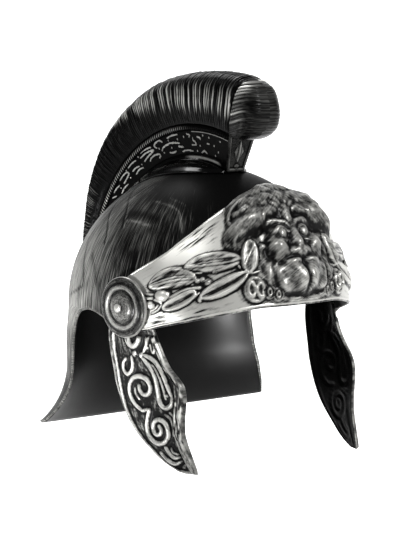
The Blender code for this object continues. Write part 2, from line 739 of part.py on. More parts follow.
def make_brush(material, parts):
    """The plume as one hard piece: locks stand side by side from the rear to the bulb in front."""
    sections = []
    for i, (forward, height, angle, length, half) in enumerate(hair_stations()):
        groove = LOCK_DEPTH if i % 2 else 0.0
        right = []
        for lobe in HAIR_SECTION:
            depth = groove if lobe.reach > 0 else 0.0
            reach = lobe.reach * (length - depth)
            wide = max(0.0, lobe.half * half - depth)
            right.append((reach, wide))
        ring = [(reach, -wide) for reach, wide in right] + [(reach, wide) for reach, wide in reversed(right[:-1])]
        sections.append([spot(forward + reach * sin(angle), left, height + reach * cos(angle)) for reach, left in ring])
    return loft("crest_brush", sections, material, parts)


def main():
    for obj in list(bpy.data.objects):
        bpy.data.objects.remove(obj)
    scene = bpy.context.scene
    parts = bpy.data.collections.new("gladiator_helmet")
    cutters = bpy.data.collections.new("cutters")
    scene.collection.children.link(parts)
    scene.collection.children.link(cutters)
    black = plain_material("aged_black", (0.020, 0.020, 0.022), 0.25, 0.45)
    silver = plain_material("brushed_silver", (0.55, 0.55, 0.54), 0.75, 0.38)
    hair = plain_material("black_plume", (0.015, 0.015, 0.016), 0.2, 0.42)
    make_skull(black, parts, cutters)
    make_plinth(black, parts)
    make_holder(black, parts, cutters)
    make_brush(hair, parts)
    make_band(silver, parts, cutters)
    left_guard = make_guard(silver, parts, cutters)
    mirrored_copy("cheek_guard_right", left_guard, parts)
    for name, side in (("left", 1), ("right", -1)):
        make_boss(f"boss_{name}", side, silver, parts)
        make_rivet(f"rivet_{name}", side, silver, parts)


main()
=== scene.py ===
"""Gladiator helmet: moulded shell, crest with scroll relief, brow band with garland and lion mask, cheek guards.

Working coordinates are (forward, left, height) in millimetres, with heights counted from the line through both rivets.
"""
from collections import namedtuple
from math import cos, degrees, pi, radians, sin, tan

import bmesh
import bpy
import numpy as np
from mathutils import Matrix, Vector


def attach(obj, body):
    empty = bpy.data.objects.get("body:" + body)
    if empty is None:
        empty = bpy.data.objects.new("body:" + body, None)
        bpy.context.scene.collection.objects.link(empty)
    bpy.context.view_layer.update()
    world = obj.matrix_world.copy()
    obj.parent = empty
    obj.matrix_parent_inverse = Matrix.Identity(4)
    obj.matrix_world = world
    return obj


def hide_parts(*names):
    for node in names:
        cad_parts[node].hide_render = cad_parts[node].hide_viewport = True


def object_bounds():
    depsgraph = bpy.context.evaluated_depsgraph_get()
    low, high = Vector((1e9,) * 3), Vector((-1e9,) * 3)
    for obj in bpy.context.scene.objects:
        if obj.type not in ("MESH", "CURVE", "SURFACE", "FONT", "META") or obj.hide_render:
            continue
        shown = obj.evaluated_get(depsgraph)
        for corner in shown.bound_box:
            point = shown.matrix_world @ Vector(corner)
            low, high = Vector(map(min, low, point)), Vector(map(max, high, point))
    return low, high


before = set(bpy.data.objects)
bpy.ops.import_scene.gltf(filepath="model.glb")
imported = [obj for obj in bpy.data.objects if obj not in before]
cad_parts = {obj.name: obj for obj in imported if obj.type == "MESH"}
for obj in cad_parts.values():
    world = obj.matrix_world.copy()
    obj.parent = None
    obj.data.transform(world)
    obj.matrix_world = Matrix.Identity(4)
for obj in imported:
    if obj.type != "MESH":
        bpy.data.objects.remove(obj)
cad_low, cad_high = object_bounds()

# Skull cap
CROWN = 96.0
BELT = -8.0
SKULL_FRONT = 103.0
SKULL_REAR = 112.5
SKULL_SIDE = 93.8
SKULL_WALL = 2.0
SKULL_POWER = 2.14
REAR_SQUARE = 0.22
DOME_POWER = 1.96
DOME_DROP = 100.0
ARCH_START = 108.0

# Neck guard
NECK_REAR = 113.0
NECK_SIDE = 98.5
NECK_WIDENS = 0.5
NECK_FLARE = 21.6
FLARE_POWER = 4.5
RIM_CORNER = -93.5
RIM_CORNER_REACH = -66.3
RIM_SLOPE = 0.2235
RIM_BEAD = 1.15

# Brow band
BAND_FRONT = 107.0
BAND_REAR = 114.0
BAND_SIDE = 100.2
BAND_CROWN = 100.2
BAND_PLAN_POWER = 2.08
BAND_POWER = 1.93
BAND_END_BELT = 6.0
BAND_LIFTS_FROM = 50.0
BAND_LIFTS_TO = 70.0
BAND_WALL = 2.0
BAND_END = 87.0

# Rivets and cheek guards
RIVET = (22.2, 98.4, 0.0)
RIVET_TILT = radians(7.5)
RIVET_DROP = radians(1.0)
GUARD_WALL = 2.0
GUARD_SEAT = -3.5
GUARD_DISC = 12.0
GUARD_BEND_FROM = 4.0
GUARD_BEND_TOP = 0.0095
GUARD_BEND_LOW = 0.0021
BEND_EASES_FROM = 16.0
BEND_EASES_TO = 46.0

# Crest
CREST_CENTRE = (-2.5, -2.3)
ROPE_RADIUS = 127.5
ROPE_THICK = 4.6
ROPE_HALF = 12.8
STRIP_HALF = 10.5
STRIP_LOW_HALF = 7.8
FOOT_HALF = 9.2
PLINTH_SEAT = 0.7
HOLDER_SEAT = 0.6
GAP = 0.3
CREST_FRONT = 17.4
CREST_REAR = -93.0

Row = namedtuple("Row", "at value")
SKULL_BROW = [
    Row(0, 9.0), Row(20, 8.0), Row(38, 3.5), Row(54, -2.0), Row(64, -6.0), Row(72, -9.5),
    Row(80, -11.5), Row(88, -12.0), Row(92, -11.6), Row(94, -10.8), Row(96, -9.6), Row(98, -8.4), Row(100, -7.5),
    Row(102, -7.0), Row(104, -6.8), Row(106, -7.1), Row(108, -8.0),
]
EAR_ARCH = [
    Row(0.0, 108.0), Row(0.012, 110.0), Row(0.041, 112.6), Row(0.10, 114.8), Row(0.18, 115.7), Row(0.256, 116.0),
    Row(0.49, 116.3), Row(0.72, 114.9), Row(0.865, 115.4), Row(1.0, 117.2),
]
BAND_LOW = [
    Row(0, 3.3), Row(18, 2.8), Row(34, -1.1), Row(51, -7.2), Row(63, -12.0), Row(68.2, -14.6),
    Row(75, -16.4), Row(80, -15.0), Row(84, -11.0), Row(87, -5.0),
]
BAND_HIGH = [
    Row(0, 82.5), Row(6, 82.0), Row(21, 77.8), Row(28.5, 73.6), Row(39.6, 65.7), Row(53.6, 51.2),
    Row(64.5, 37.1), Row(70.9, 30.3), Row(77.2, 23.0), Row(82, 15.0), Row(87, 5.0),
]
GUARD_REAR = [
    Row(0, 12.0), Row(5, 13.0), Row(10, 15.8), Row(14, 19.5), Row(23, 20.2), Row(32, 19.2), Row(41, 17.2), Row(48, 15.6),
    Row(55, 14.2), Row(63, 11.4), Row(71, 8.0), Row(79, 3.6), Row(87, -2.2), Row(95, -10.4), Row(102, -19.5),
    Row(109, -29.6), Row(114, -40.0), Row(117, -50.0),
]
GUARD_FRONT = [
    Row(0, 12.0), Row(5, 13.0), Row(10, 16.2), Row(14, 20.2), Row(23, 24.3), Row(32, 29.3), Row(41, 36.1), Row(48, 43.6),
    Row(55, 48.7), Row(63, 49.9), Row(71, 49.3), Row(79, 48.5), Row(87, 48.5), Row(95, 50.5), Row(102, 53.2),
    Row(109, 56.0), Row(114, 57.9), Row(117, 58.5),
]
PLINTH_TOP = [
    Row(-97, 113.6), Row(-90, 113.8), Row(-78, 112.6), Row(-62, 110.2), Row(-45, 107.6), Row(-28, 105.2),
    Row(-12, 103.7), Row(2, 102.9), Row(12, 102.2), Row(17.4, 100.8),
]
PLINTH_HALF = [
    Row(-97, 12), Row(-90, 18), Row(-78, 22), Row(-62, 26), Row(-45, 29), Row(-28, 31), Row(-12, 31), Row(2, 28),
    Row(12, 21), Row(17.4, 10),
]
HAIR_LENGTH = [
    Row(-97, 4.5), Row(-92, 6.2), Row(-82, 7.4), Row(-70, 11.0), Row(-62, 16.0), Row(-55, 20.6), Row(-40, 28.4),
    Row(-25, 32.0), Row(-10, 35.2), Row(5, 39.4), Row(17.4, 43.0), Row(32, 43.0), Row(45, 38.8), Row(58, 33.8), Row(70, 28.0), Row(80, 20.2),
    Row(90, 12.2), Row(98, 6.8),
]
HAIR_HALF = [
    Row(-97, 12), Row(-92, 13.5), Row(-82, 15.5), Row(-70, 17), Row(-55, 18), Row(-40, 18.2), Row(17.4, 18),
    Row(45, 17.5), Row(58, 17), Row(70, 16.5), Row(80, 15.5), Row(90, 14), Row(98, 12.5),
]
HAIR_REACH = [Row(0, 0), Row(1, 0.2), Row(2, 0.45), Row(3, 0.70), Row(4, 0.885), Row(5, 0.97), Row(6, 1.0)]
HAIR_WIDTH = [Row(0, 0.70), Row(1, 0.86), Row(2, 0.96), Row(3, 0.97), Row(4, 0.74), Row(5, 0.42), Row(6, 0.0)]


def read(rows, at):
    """Read a table at many places, on a curve through its rows without overshoot."""
    keys = np.array([row.at for row in rows], float)
    values = np.array([row.value for row in rows], float)
    at = np.clip(np.asarray(at, float), keys[0], keys[-1])
    place = np.clip(np.searchsorted(keys, at, side="right") - 1, 0, len(keys) - 2)
    span = np.diff(keys)
    rise = np.diff(values) / span
    slope = np.concatenate((rise[:1], np.zeros(len(rise) - 1), rise[-1:]))
    same = rise[:-1] * rise[1:] > 0
    total = np.where(same, rise[:-1] + rise[1:], 1.0)
    slope[1:-1] = np.where(same, 2 * rise[:-1] * rise[1:] / total, 0.0)
    u = (at - keys[place]) / span[place]
    return (
        values[place] * (2 * u ** 3 - 3 * u ** 2 + 1)
        + values[place + 1] * (3 * u ** 2 - 2 * u ** 3)
        + slope[place] * span[place] * (u ** 3 - 2 * u ** 2 + u)
        + slope[place + 1] * span[place] * (u ** 3 - u ** 2)
    )


def ease(value, low, high):
    """Rise from 0 to 1 without a corner between two values."""
    share = np.clip((value - low) / (high - low), 0.0, 1.0)
    return share * share * (3 - 2 * share)


def unit(vectors):
    """Vectors scaled to length one."""
    return vectors / np.maximum(np.linalg.norm(vectors, axis=-1, keepdims=True), 1e-9)


def plan(angle, front, rear, side, power):
    """Forward and left reach of an egg-shaped outline at angles in degrees from the front."""
    c, s = np.cos(np.radians(angle)), np.sin(np.radians(angle))
    length = np.where(c > 0, front, rear)
    forward = length * np.sign(c) * np.abs(c) ** (2 / power)
    return forward, side * np.sign(s) * np.abs(s) ** (2 / power)


def shrink(height, belt, crown, power):
    """How much of the outline is left at heights over the belt."""
    share = np.clip((height - belt) / (crown - belt), 0.0, 1.0)
    return (1 - share ** power) ** (1 / power)


def rear_power(angle, fall=0.0):
    """How square the outline is: a little squarer behind the ears, and as in front at the flared rim."""
    return SKULL_POWER + REAR_SQUARE * ease(np.abs(angle), 95, 125) * (1 - ease(fall, 0.2, 0.6))


def skull_place(angle, height):
    """Points on the skull cap's outer side."""
    forward, left = plan(angle, SKULL_FRONT, SKULL_REAR, SKULL_SIDE, rear_power(angle))
    left_over = shrink(height, BELT, CROWN, DOME_POWER)
    return np.stack((forward * left_over, left * left_over, height + 0 * forward), -1)


def skull_height(turn):
    """Height of the skull cap at a turn down from the crown, where 1 is the belt."""
    over = BELT + (CROWN - BELT) * np.cos(np.clip(turn, 0, 1) * pi / 2) ** (2 / DOME_POWER)
    return np.where(turn >= 1, BELT - (turn - 1) * DOME_DROP, over)


def brow_turn(height):
    """The turn at which the skull cap reaches a height."""
    share = np.clip((height - BELT) / (CROWN - BELT), 0, 1)
    over = np.arctan2(np.sqrt(1 - share ** DOME_POWER), share ** (DOME_POWER / 2)) / (pi / 2)
    return np.where(height <= BELT, 1 + (BELT - height) / DOME_DROP, over)


def neck_place(share, fall, side):
    """Points on the neck guard of one side, by share from the ear edge to the rear and fall to the rim."""
    edge = read(EAR_ARCH, fall)
    angle = edge + (180 - edge) * share
    flare = NECK_FLARE * fall ** FLARE_POWER
    widening = ease(fall, 0, NECK_WIDENS)
    wide = SKULL_SIDE + (NECK_SIDE - SKULL_SIDE) * widening + flare
    rear = SKULL_REAR + (NECK_REAR - SKULL_REAR) * widening + flare
    forward, left = plan(angle, SKULL_FRONT, rear, wide, rear_power(angle, fall))
    rim_reach, _ = plan(angle, SKULL_FRONT, NECK_REAR + NECK_FLARE, NECK_SIDE + NECK_FLARE, SKULL_POWER)
    rim = RIM_CORNER + (rim_reach - RIM_CORNER_REACH) * RIM_SLOPE
    return np.stack((forward, side * left, BELT + (rim - BELT) * fall), -1)


def band_place(angle, height):
    """Points on the brow band's outer side."""
    forward, left = plan(angle, BAND_FRONT, BAND_REAR, BAND_SIDE, BAND_PLAN_POWER)
    belt = BELT + (BAND_END_BELT - BELT) * ease(np.abs(angle), BAND_LIFTS_FROM, BAND_LIFTS_TO)
    left_over = shrink(height, belt, BAND_CROWN, BAND_POWER)
    return np.stack((forward * left_over, left * left_over, height + 0 * forward), -1)


def rivet_axes():
    """Forward, down and outward directions of the left rivet."""
    out = np.array((-sin(-RIVET_TILT) * cos(RIVET_DROP), cos(RIVET_TILT) * cos(RIVET_DROP), -sin(RIVET_DROP)))
    ahead = unit(np.array((out[1], -out[0], 0.0)))
    return ahead, np.cross(out, ahead), out


def guard_place(ahead, down, lift=0.0):
    """Points on the left guard's outer side, by place ahead of and under the rivet."""
    spread = ease(down, BEND_EASES_FROM, BEND_EASES_TO)
    bend = GUARD_BEND_TOP + (GUARD_BEND_LOW - GUARD_BEND_TOP) * spread
    out = GUARD_SEAT - bend * np.maximum(0.0, ahead - GUARD_BEND_FROM) ** 2 + lift
    forward_axis, down_axis, out_axis = rivet_axes()
    if down_axis[2] > 0:
        down_axis = -down_axis
    return (
        np.array(RIVET)
        + np.asarray(ahead)[..., None] * forward_axis
        + np.asarray(down)[..., None] * down_axis
        + np.asarray(out)[..., None] * out_axis
    )


def crest_place(angle, radius, left):
    """Points of the crest, by angle ahead of the top and radius about the crest's centre."""
    forward = CREST_CENTRE[0] + radius * np.sin(np.radians(angle))
    height = CREST_CENTRE[1] + radius * np.cos(np.radians(angle))
    return np.stack(np.broadcast_arrays(forward, left, height), -1)


def dome_radius(angle, left):
    """Radius about the crest's centre at which the skull cap's outer side lies."""
    angle, left = np.broadcast_arrays(np.asarray(angle, float), np.asarray(left, float))
    low = np.full(angle.shape, 80.0)
    high = np.full(angle.shape, 125.0)
    for _ in range(24):
        middle = (low + high) / 2
        place = crest_place(angle, middle, left)
        length = np.where(place[..., 0] > 0, SKULL_FRONT, SKULL_REAR)
        outline = (np.abs(place[..., 0]) / length) ** SKULL_POWER + (np.abs(left) / SKULL_SIDE) ** SKULL_POWER
        rise = np.clip((place[..., 2] - BELT) / (CROWN - BELT), 0, None)
        inside = outline ** (DOME_POWER / SKULL_POWER) + rise ** DOME_POWER < 1
        low = np.where(inside, middle, low)
        high = np.where(inside, high, middle)
    return low


def soften(field, steps):
    """Blur a grid by averaging each point with its neighbours a number of times."""
    for _ in range(steps):
        for axis in (0, 1):
            before = np.concatenate((field.take([0], axis), field.take(range(field.shape[axis] - 1), axis)), axis)
            after = np.concatenate((field.take(range(1, field.shape[axis]), axis), field.take([-1], axis)), axis)
            field = field / 2 + before / 4 + after / 4
    return field


def grid_normals(points, toward):
    """Normals of a grid of points, on the side of a direction at its middle."""
    normals = unit(np.cross(np.gradient(points, axis=0), np.gradient(points, axis=1)))
    middle = normals[normals.shape[0] // 2, normals.shape[1] // 2]
    return normals if middle @ np.asarray(toward, float) > 0 else -normals


def lean_rows(field, slope):
    """A grid with each column of its second axis shifted further along the first axis, mirrored at the middle."""
    half = field[:field.shape[0] // 2]
    leaned = np.stack([np.roll(half[:, j], int(round(slope * j))) for j in range(field.shape[1])], 1)
    return np.concatenate((leaned, leaned[::-1]))


def mottle(shape, along, across, seed):
    """Seeded soft noise over a grid, stretched by two counts of averaging, between about -1 and 1."""
    field = np.random.default_rng(seed).normal(size=shape)
    for axis, steps in ((0, along), (1, across)):
        for _ in range(steps):
            before = np.concatenate((field.take([0], axis), field.take(range(field.shape[axis] - 1), axis)), axis)
            after = np.concatenate((field.take(range(1, field.shape[axis]), axis), field.take([-1], axis)), axis)
            field = field / 2 + before / 4 + after / 4
    return np.tanh(field / np.std(field))


def cavity(relief, steps, depth):
    """How far each point stands over its surroundings, from about -1 in a hollow to 1 on a ridge."""
    return np.tanh((relief - soften(relief, steps)) / depth)


def round_rim(start, end, outward, steps=3):
    """Rows of points on a half circle from one edge to the other."""
    middle, half = (start + end) / 2, (start - end) / 2
    reach = unit(outward - np.sum(outward * unit(half), -1, keepdims=True) * unit(half))
    reach = reach * np.linalg.norm(half, axis=-1, keepdims=True)
    turns = [pi * (i + 1) / (steps + 1) for i in range(steps)]
    return np.stack([middle + half * cos(t) + reach * sin(t) for t in turns], 1)


def to_frame(points):
    """Working millimetres to the part's frame in metres."""
    forward, left, height = np.moveaxis(np.asarray(points, float), -1, 0)
    return np.stack((left, -forward, height - (CROWN - SKULL_WALL)), -1) * 0.001


def build(name, points, faces, materials, body, tone=None, brush=None, slots=None, node=None):
    """Make a smooth mesh piece that rides on a body, with its paint tone and brush direction stored on its points."""
    mesh = bpy.data.meshes.new(name)
    mesh.from_pydata(to_frame(points).tolist(), [], [tuple(face) for face in faces])
    for material in materials:
        mesh.materials.append(material)
    if slots is not None:
        mesh.polygons.foreach_set("material_index", np.asarray(slots, np.int32))
    work = bmesh.new()
    work.from_mesh(mesh)
    bmesh.ops.recalc_face_normals(work, faces=work.faces)
    work.to_mesh(mesh)
    work.free()
    if tone is not None:
        layer = mesh.attributes.new("tone", "FLOAT", "POINT")
        layer.data.foreach_set("value", np.asarray(tone, np.float32).ravel())
    if brush is not None:
        layer = mesh.attributes.new("brush", "FLOAT_VECTOR", "POINT")
        layer.data.foreach_set("vector", np.asarray(brush, np.float32).ravel())
    mesh.shade_smooth()
    piece = bpy.data.objects.new(name, mesh)
    bpy.context.scene.collection.objects.link(piece)
    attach(piece, body)
    if node:
        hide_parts(node)
    return piece


def ring_faces(columns, ring, closed_ends=True):
    """Quads round a row of closed rings, with an end face on each end."""
    i = np.arange(columns - 1)[:, None] * ring
    k = np.arange(ring)[None, :]
    after = (k + 1) % ring
    quads = np.stack((i + k, i + after, i + ring + after, i + ring + k), -1).reshape(-1, 4).tolist()
    if closed_ends:
        quads.append(list(range(ring)))
        quads.append(list(range((columns - 1) * ring, columns * ring)))
    return quads


def grid_quads(rows, columns):
    """Quads of an open grid."""
    low = np.arange(rows - 1)[:, None] * columns + np.arange(columns - 1)[None, :]
    return np.stack((low, low + 1, low + columns + 1, low + columns), -1).reshape(-1, 4).tolist()


def wrap_sheet(outer, inner, tone, inner_tone, brush, step):
    """Rings across a sheet: its outer side, a round rim, every few rows of its inner side, and a round rim."""
    far_rim = round_rim(outer[:, -1], inner[:, -1], outer[:, -1] - outer[:, -2])
    near_rim = round_rim(inner[:, 0], outer[:, 0], outer[:, 0] - outer[:, 1])
    rows = list(range(outer.shape[1] - 1, 0, -step)) + [0]
    ring = np.concatenate((outer, far_rim, inner[:, rows], near_rim), 1)
    rims = far_rim.shape[1]
    tones = np.concatenate((
        tone, np.repeat(tone[:, -1:], rims, 1), inner_tone[:, rows], np.repeat(tone[:, :1], rims, 1),
    ), 1)
    brushes = np.concatenate((
        brush, np.repeat(brush[:, -1:], rims, 1), brush[:, rows], np.repeat(brush[:, :1], rims, 1),
    ), 1)
    outside = outer.shape[1] + rims
    columns = ring.shape[0]
    inner_faces = np.zeros(ring.shape[1], int)
    inner_faces[outside:outside + len(rows) - 1] = 1
    slots = np.concatenate((np.tile(inner_faces, columns - 1), [0, 0]))
    return ring, ring_faces(columns, ring.shape[1]), tones, brushes, slots


def node_tree(name):
    """A new material with its nodes, links and shader."""
    material = bpy.data.materials.new(name)
    material.use_nodes = True
    nodes = material.node_tree.nodes
    return material, nodes, material.node_tree.links, nodes["Principled BSDF"]


def add_noise(nodes, links, source, scale, detail, roughness=0.55):
    """Noise over a stored direction, stretched by a scale on each axis."""
    mapping = nodes.new("ShaderNodeMapping")
    mapping.inputs["Scale"].default_value = scale
    links.new(source, mapping.inputs["Vector"])
    noise = nodes.new("ShaderNodeTexNoise")
    noise.inputs["Scale"].default_value = 1.0
    noise.inputs["Detail"].default_value = detail
    noise.inputs["Roughness"].default_value = roughness
    links.new(mapping.outputs["Vector"], noise.inputs["Vector"])
    return noise.outputs["Fac"]


def arithmetic(nodes, links, operation, first, second, third=None):
    """One math node on sockets or numbers."""
    node = nodes.new("ShaderNodeMath")
    node.operation = operation
    for socket, value in zip(node.inputs, (first, second, third)):
        if value is None:
            continue
        if isinstance(value, (int, float)):
            socket.default_value = value
        else:
            links.new(value, socket)
    return node.outputs["Value"]


def ramp(nodes, links, value, low, high, start=0.0, end=1.0):
    """A value carried smoothly from one range to another."""
    node = nodes.new("ShaderNodeMapRange")
    node.interpolation_type = "SMOOTHSTEP"
    node.inputs["From Min"].default_value = low
    node.inputs["From Max"].default_value = high
    node.inputs["To Min"].default_value = start
    node.inputs["To Max"].default_value = end
    links.new(value, node.inputs["Value"])
    return node.outputs["Result"]


def brushed_paint(name, dark, light, metal, rough, streaks, blotch, fine, gloss=0.14, grain=0.00010):
    """Silver brushed over black: the stored tone, broken by streaks and blotches, mixes the two paints.

    streaks, blotch and fine are (scale, strength) along the brush direction. rough is (on black, on silver).
    """
    material, nodes, links, shader = node_tree(name)
    tone = nodes.new("ShaderNodeAttribute")
    tone.attribute_name = "tone"
    brush = nodes.new("ShaderNodeAttribute")
    brush.attribute_name = "brush"
    total = tone.outputs["Fac"]
    for (scale, strength), detail in ((streaks, 3.0), (blotch, 2.0), (fine, 2.0)):
        noise = add_noise(nodes, links, brush.outputs["Vector"], scale, detail)
        swing = arithmetic(nodes, links, "SUBTRACT", noise, 0.5)
        total = arithmetic(nodes, links, "MULTIPLY_ADD", swing, strength, total)
    factor = ramp(nodes, links, total, 0.05, 0.95)
    mix = nodes.new("ShaderNodeMix")
    mix.data_type = "RGBA"
    mix.inputs["A"].default_value = (*dark, 1.0)
    mix.inputs["B"].default_value = (*light, 1.0)
    links.new(factor, mix.inputs["Factor"])
    links.new(mix.outputs["Result"], shader.inputs["Base Color"])
    links.new(ramp(nodes, links, total, 0.05, 0.95, rough[0], rough[1]), shader.inputs["Roughness"])
    links.new(ramp(nodes, links, total, 0.15, 0.85, metal[0], metal[1]), shader.inputs["Metallic"])
    grit = add_noise(nodes, links, brush.outputs["Vector"], (1.6, 1.6, 1.6), 4.0)
    bump = nodes.new("ShaderNodeBump")
    bump.inputs["Strength"].default_value = 0.6
    bump.inputs["Distance"].default_value = grain
    links.new(grit, bump.inputs["Height"])
    links.new(bump.outputs["Normal"], shader.inputs["Normal"])
    shader.inputs["Specular IOR Level"].default_value = gloss
    return material


def satin_black(name, colour, roughness, grain_scale, grain, gloss):
    """Moulded black plastic with a faint orange-peel surface."""
    material, nodes, links, shader = node_tree(name)
    place = nodes.new("ShaderNodeTexCoord")
    cloud = add_noise(nodes, links, place.outputs["Object"], (28.0, 28.0, 28.0), 3.0)
    mix = nodes.new("ShaderNodeMix")
    mix.data_type = "RGBA"
    mix.inputs["A"].default_value = (*[c * 0.75 for c in colour], 1.0)
    mix.inputs["B"].default_value = (*[c * 1.3 for c in colour], 1.0)
    links.new(cloud, mix.inputs["Factor"])
    links.new(mix.outputs["Result"], shader.inputs["Base Color"])
    links.new(ramp(nodes, links, cloud, 0.2, 0.8, roughness - 0.04, roughness + 0.05), shader.inputs["Roughness"])
    peel = add_noise(nodes, links, place.outputs["Object"], (grain_scale,) * 3, 3.0)
    bump = nodes.new("ShaderNodeBump")
    bump.inputs["Strength"].default_value = 0.35
    bump.inputs["Distance"].default_value = grain
    links.new(peel, bump.inputs["Height"])
    links.new(bump.outputs["Normal"], shader.inputs["Normal"])
    shader.inputs["Specular IOR Level"].default_value = gloss
    return material


# Materials
BLACK = (0.004, 0.004, 0.004)
SILVER = (0.78, 0.78, 0.77)
shell_paint = brushed_paint(
    "shell_paint", (0.003, 0.003, 0.003), (0.42, 0.42, 0.40), (0.0, 0.55), (0.40, 0.44),
    ((1.5, 0.035, 1.0), 0.85), ((0.08, 0.05, 1.0), 0.40), ((3.4, 0.10, 1.0), 0.95), 0.015,
)
band_paint = brushed_paint(
    "band_paint", BLACK, (0.62, 0.617, 0.585), (0.2, 0.55), (0.34, 0.36),
    ((0.09, 1.3, 1.0), 0.75), ((0.20, 0.28, 1.0), 0.30), ((1.2, 1.6, 1.0), 0.40),
)
guard_paint = brushed_paint(
    "guard_paint", BLACK, (0.46, 0.458, 0.436), (0.2, 0.6), (0.34, 0.36),
    ((1.0, 0.16, 1.0), 0.45), ((0.10, 0.10, 1.0), 0.35), ((1.4, 1.4, 1.0), 0.45),
)
boss_paint = brushed_paint(
    "boss_paint", BLACK, (0.50, 0.497, 0.474), (0.2, 0.7), (0.26, 0.34),
    ((0.30, 2.6, 1.0), 0.60), ((0.15, 0.3, 1.0), 0.35), ((1.4, 1.4, 1.0), 0.4),
)
hair_paint = brushed_paint(
    "hair_paint", (0.002, 0.002, 0.002), (0.80, 0.798, 0.765), (0.0, 0.6), (0.22, 0.34),
    ((2.2, 0.10, 1.0), 0.35), ((0.12, 0.10, 1.0), 0.25), ((4.5, 0.3, 1.0), 0.25), 0.05,
)
crest_paint = brushed_paint(
    "crest_paint", (0.002, 0.002, 0.002), (0.80, 0.798, 0.765), (0.0, 0.6), (0.24, 0.34),
    ((0.8, 0.8, 1.0), 0.25), ((0.10, 0.10, 1.0), 0.20), ((2.0, 2.0, 1.0), 0.2), 0.02,
)
inner_black = satin_black("inner_black", (0.002, 0.002, 0.002), 0.38, 260.0, 0.00012, 0.075)
guard_black = satin_black("guard_black", (0.001, 0.001, 0.001), 0.24, 260.0, 0.00012, 0.015)
gloss_black = satin_black("gloss_black", (0.003, 0.003, 0.003), 0.12, 180.0, 0.00006, 0.10)


def make_skull():
    """Skull cap and neck guard: one thin wall, brushed outside and satin black inside."""
    front, rear, dome_rows, neck_rows = 118, 68, 92, 54
    half = np.concatenate((
        ARCH_START * np.arange(front) / front, ARCH_START + (180 - ARCH_START) * np.arange(rear + 1) / rear,
    ))
    columns = np.concatenate((-half[:0:-1], half[:-1]))
    brow = read(SKULL_BROW, np.abs(columns))
    last = brow_turn(np.where(np.abs(columns) < ARCH_START, brow, BELT))
    turns = last[None, :] * (np.arange(1, dome_rows + 1)[:, None] / dome_rows)
    heights = skull_height(turns)
    dome = skull_place(columns[None, :] + 0 * turns, heights)
    width = len(columns)
    points = [np.array([[0.0, 0.0, CROWN]]), dome.reshape(-1, 3)]
    brush = [np.array([[0.0, 0.0, 0.0]])]
    brush.append(np.stack((np.abs(columns)[None, :] + 0 * turns, turns * 100, 0 * turns), -1).reshape(-1, 3))
    faces = [(0, 1 + i, 1 + (i + 1) % width) for i in range(width)]
    for row in range(dome_rows - 1):
        low = 1 + row * width
        faces += [(low + i, low + (i + 1) % width, low + width + (i + 1) % width, low + width + i) for i in range(width)]
    first = 1 + (dome_rows - 1) * width
    order = np.argsort(np.where(columns < 0, columns + 360, columns), kind="stable")
    turned_columns = np.where(columns < 0, columns + 360, columns)[order]
    behind = order[(turned_columns >= ARCH_START - 0.001) & (turned_columns <= 360 - ARCH_START + 0.001)]
    above = [first + int(i) for i in behind]
    count = 1 + dome_rows * width
    falls = (np.arange(1, neck_rows + 1) / neck_rows) ** 1.15
    share = np.arange(rear + 1) / rear
    for fall in falls:
        right = neck_place(share, fall + 0 * share, 1)
        left = neck_place(share, fall + 0 * share, -1)
        row = np.concatenate((right, left[-2::-1]))
        points.append(row)
        behind_angle = ARCH_START + (180 - ARCH_START) * share
        angle = np.concatenate((behind_angle, behind_angle[-2::-1]))
        brush.append(np.stack((angle, 0 * angle + 100 + fall * 85, 0 * angle), -1))
        below = list(range(count, count + len(row)))
        count += len(row)
        faces += [(above[i], above[i + 1], below[i + 1], below[i]) for i in range(len(row) - 1)]
        above = below
    points = np.concatenate(points)
    brush = np.concatenate(brush)
    tone = shell_tone(points)
    skull = build("skull_form", points, faces, [shell_paint, inner_black], "helmet", tone, brush, node="skull_shell")
    flip = skull.data.polygons[0].normal.z < 0
    if flip:
        skull.data.flip_normals()
    wall = skull.modifiers.new("wall", "SOLIDIFY")
    wall.thickness = SKULL_WALL * 0.001
    wall.offset = -1
    wall.use_even_offset = True
    wall.material_offset = 1
    wall.material_offset_rim = 0
    return skull


def line_distance(points, path):
    """Distance in millimetres of each point from a bent line in space."""
    nearest = np.full(len(points), 1e3)
    for start, end in zip(path[:-1], path[1:]):
        reach = end - start
        t = np.clip((points - start) @ reach / max(reach @ reach, 1e-6), 0, 1)
        nearest = np.minimum(nearest, np.linalg.norm(points - start - t[:, None] * reach, axis=1))
    return nearest


def shell_tone(points):
    """Paint tone of the shell: painted light low at the rear, painted shade over the top front round the crest and down
    the neck guard to its rim, and painted shade and highlight lines along its ridges.
    """
    forward, left, height = points.T
    rear = ease(-forward, 0, 62)
    # Lighter low at the rear: painted light where light falls from the left rear.
    tone = 0.16 + 0.25 * rear * (1 - ease(height, 45, 85)) + 0.05 * ease(-forward, -30, 20)
    # Darker over the top front round the crest and low at the front: painted shade.
    tone -= 0.26 * ease(height, 60, 84) * ease(forward, -35, 10) + 0.20 * ease(forward, 25, 60) * ease(height, 35, 55)
    # Darker down the neck guard toward its rim: painted shade.
    tone -= 0.40 * ease(-height, -20, 95)
    side = np.stack((forward, np.abs(left), height), -1)
    # Each ridge line adds a line of painted shade or a line of painted highlight.
    for places, half, change in PAINTED_RIDGE_LINES:
        path = [skull_place(np.array(float(angle)), skull_height(turn)) for angle, turn in smooth_path(places)]
        tone += change * np.exp(-(line_distance(side, np.array(path)) / half) ** 2)
    return tone


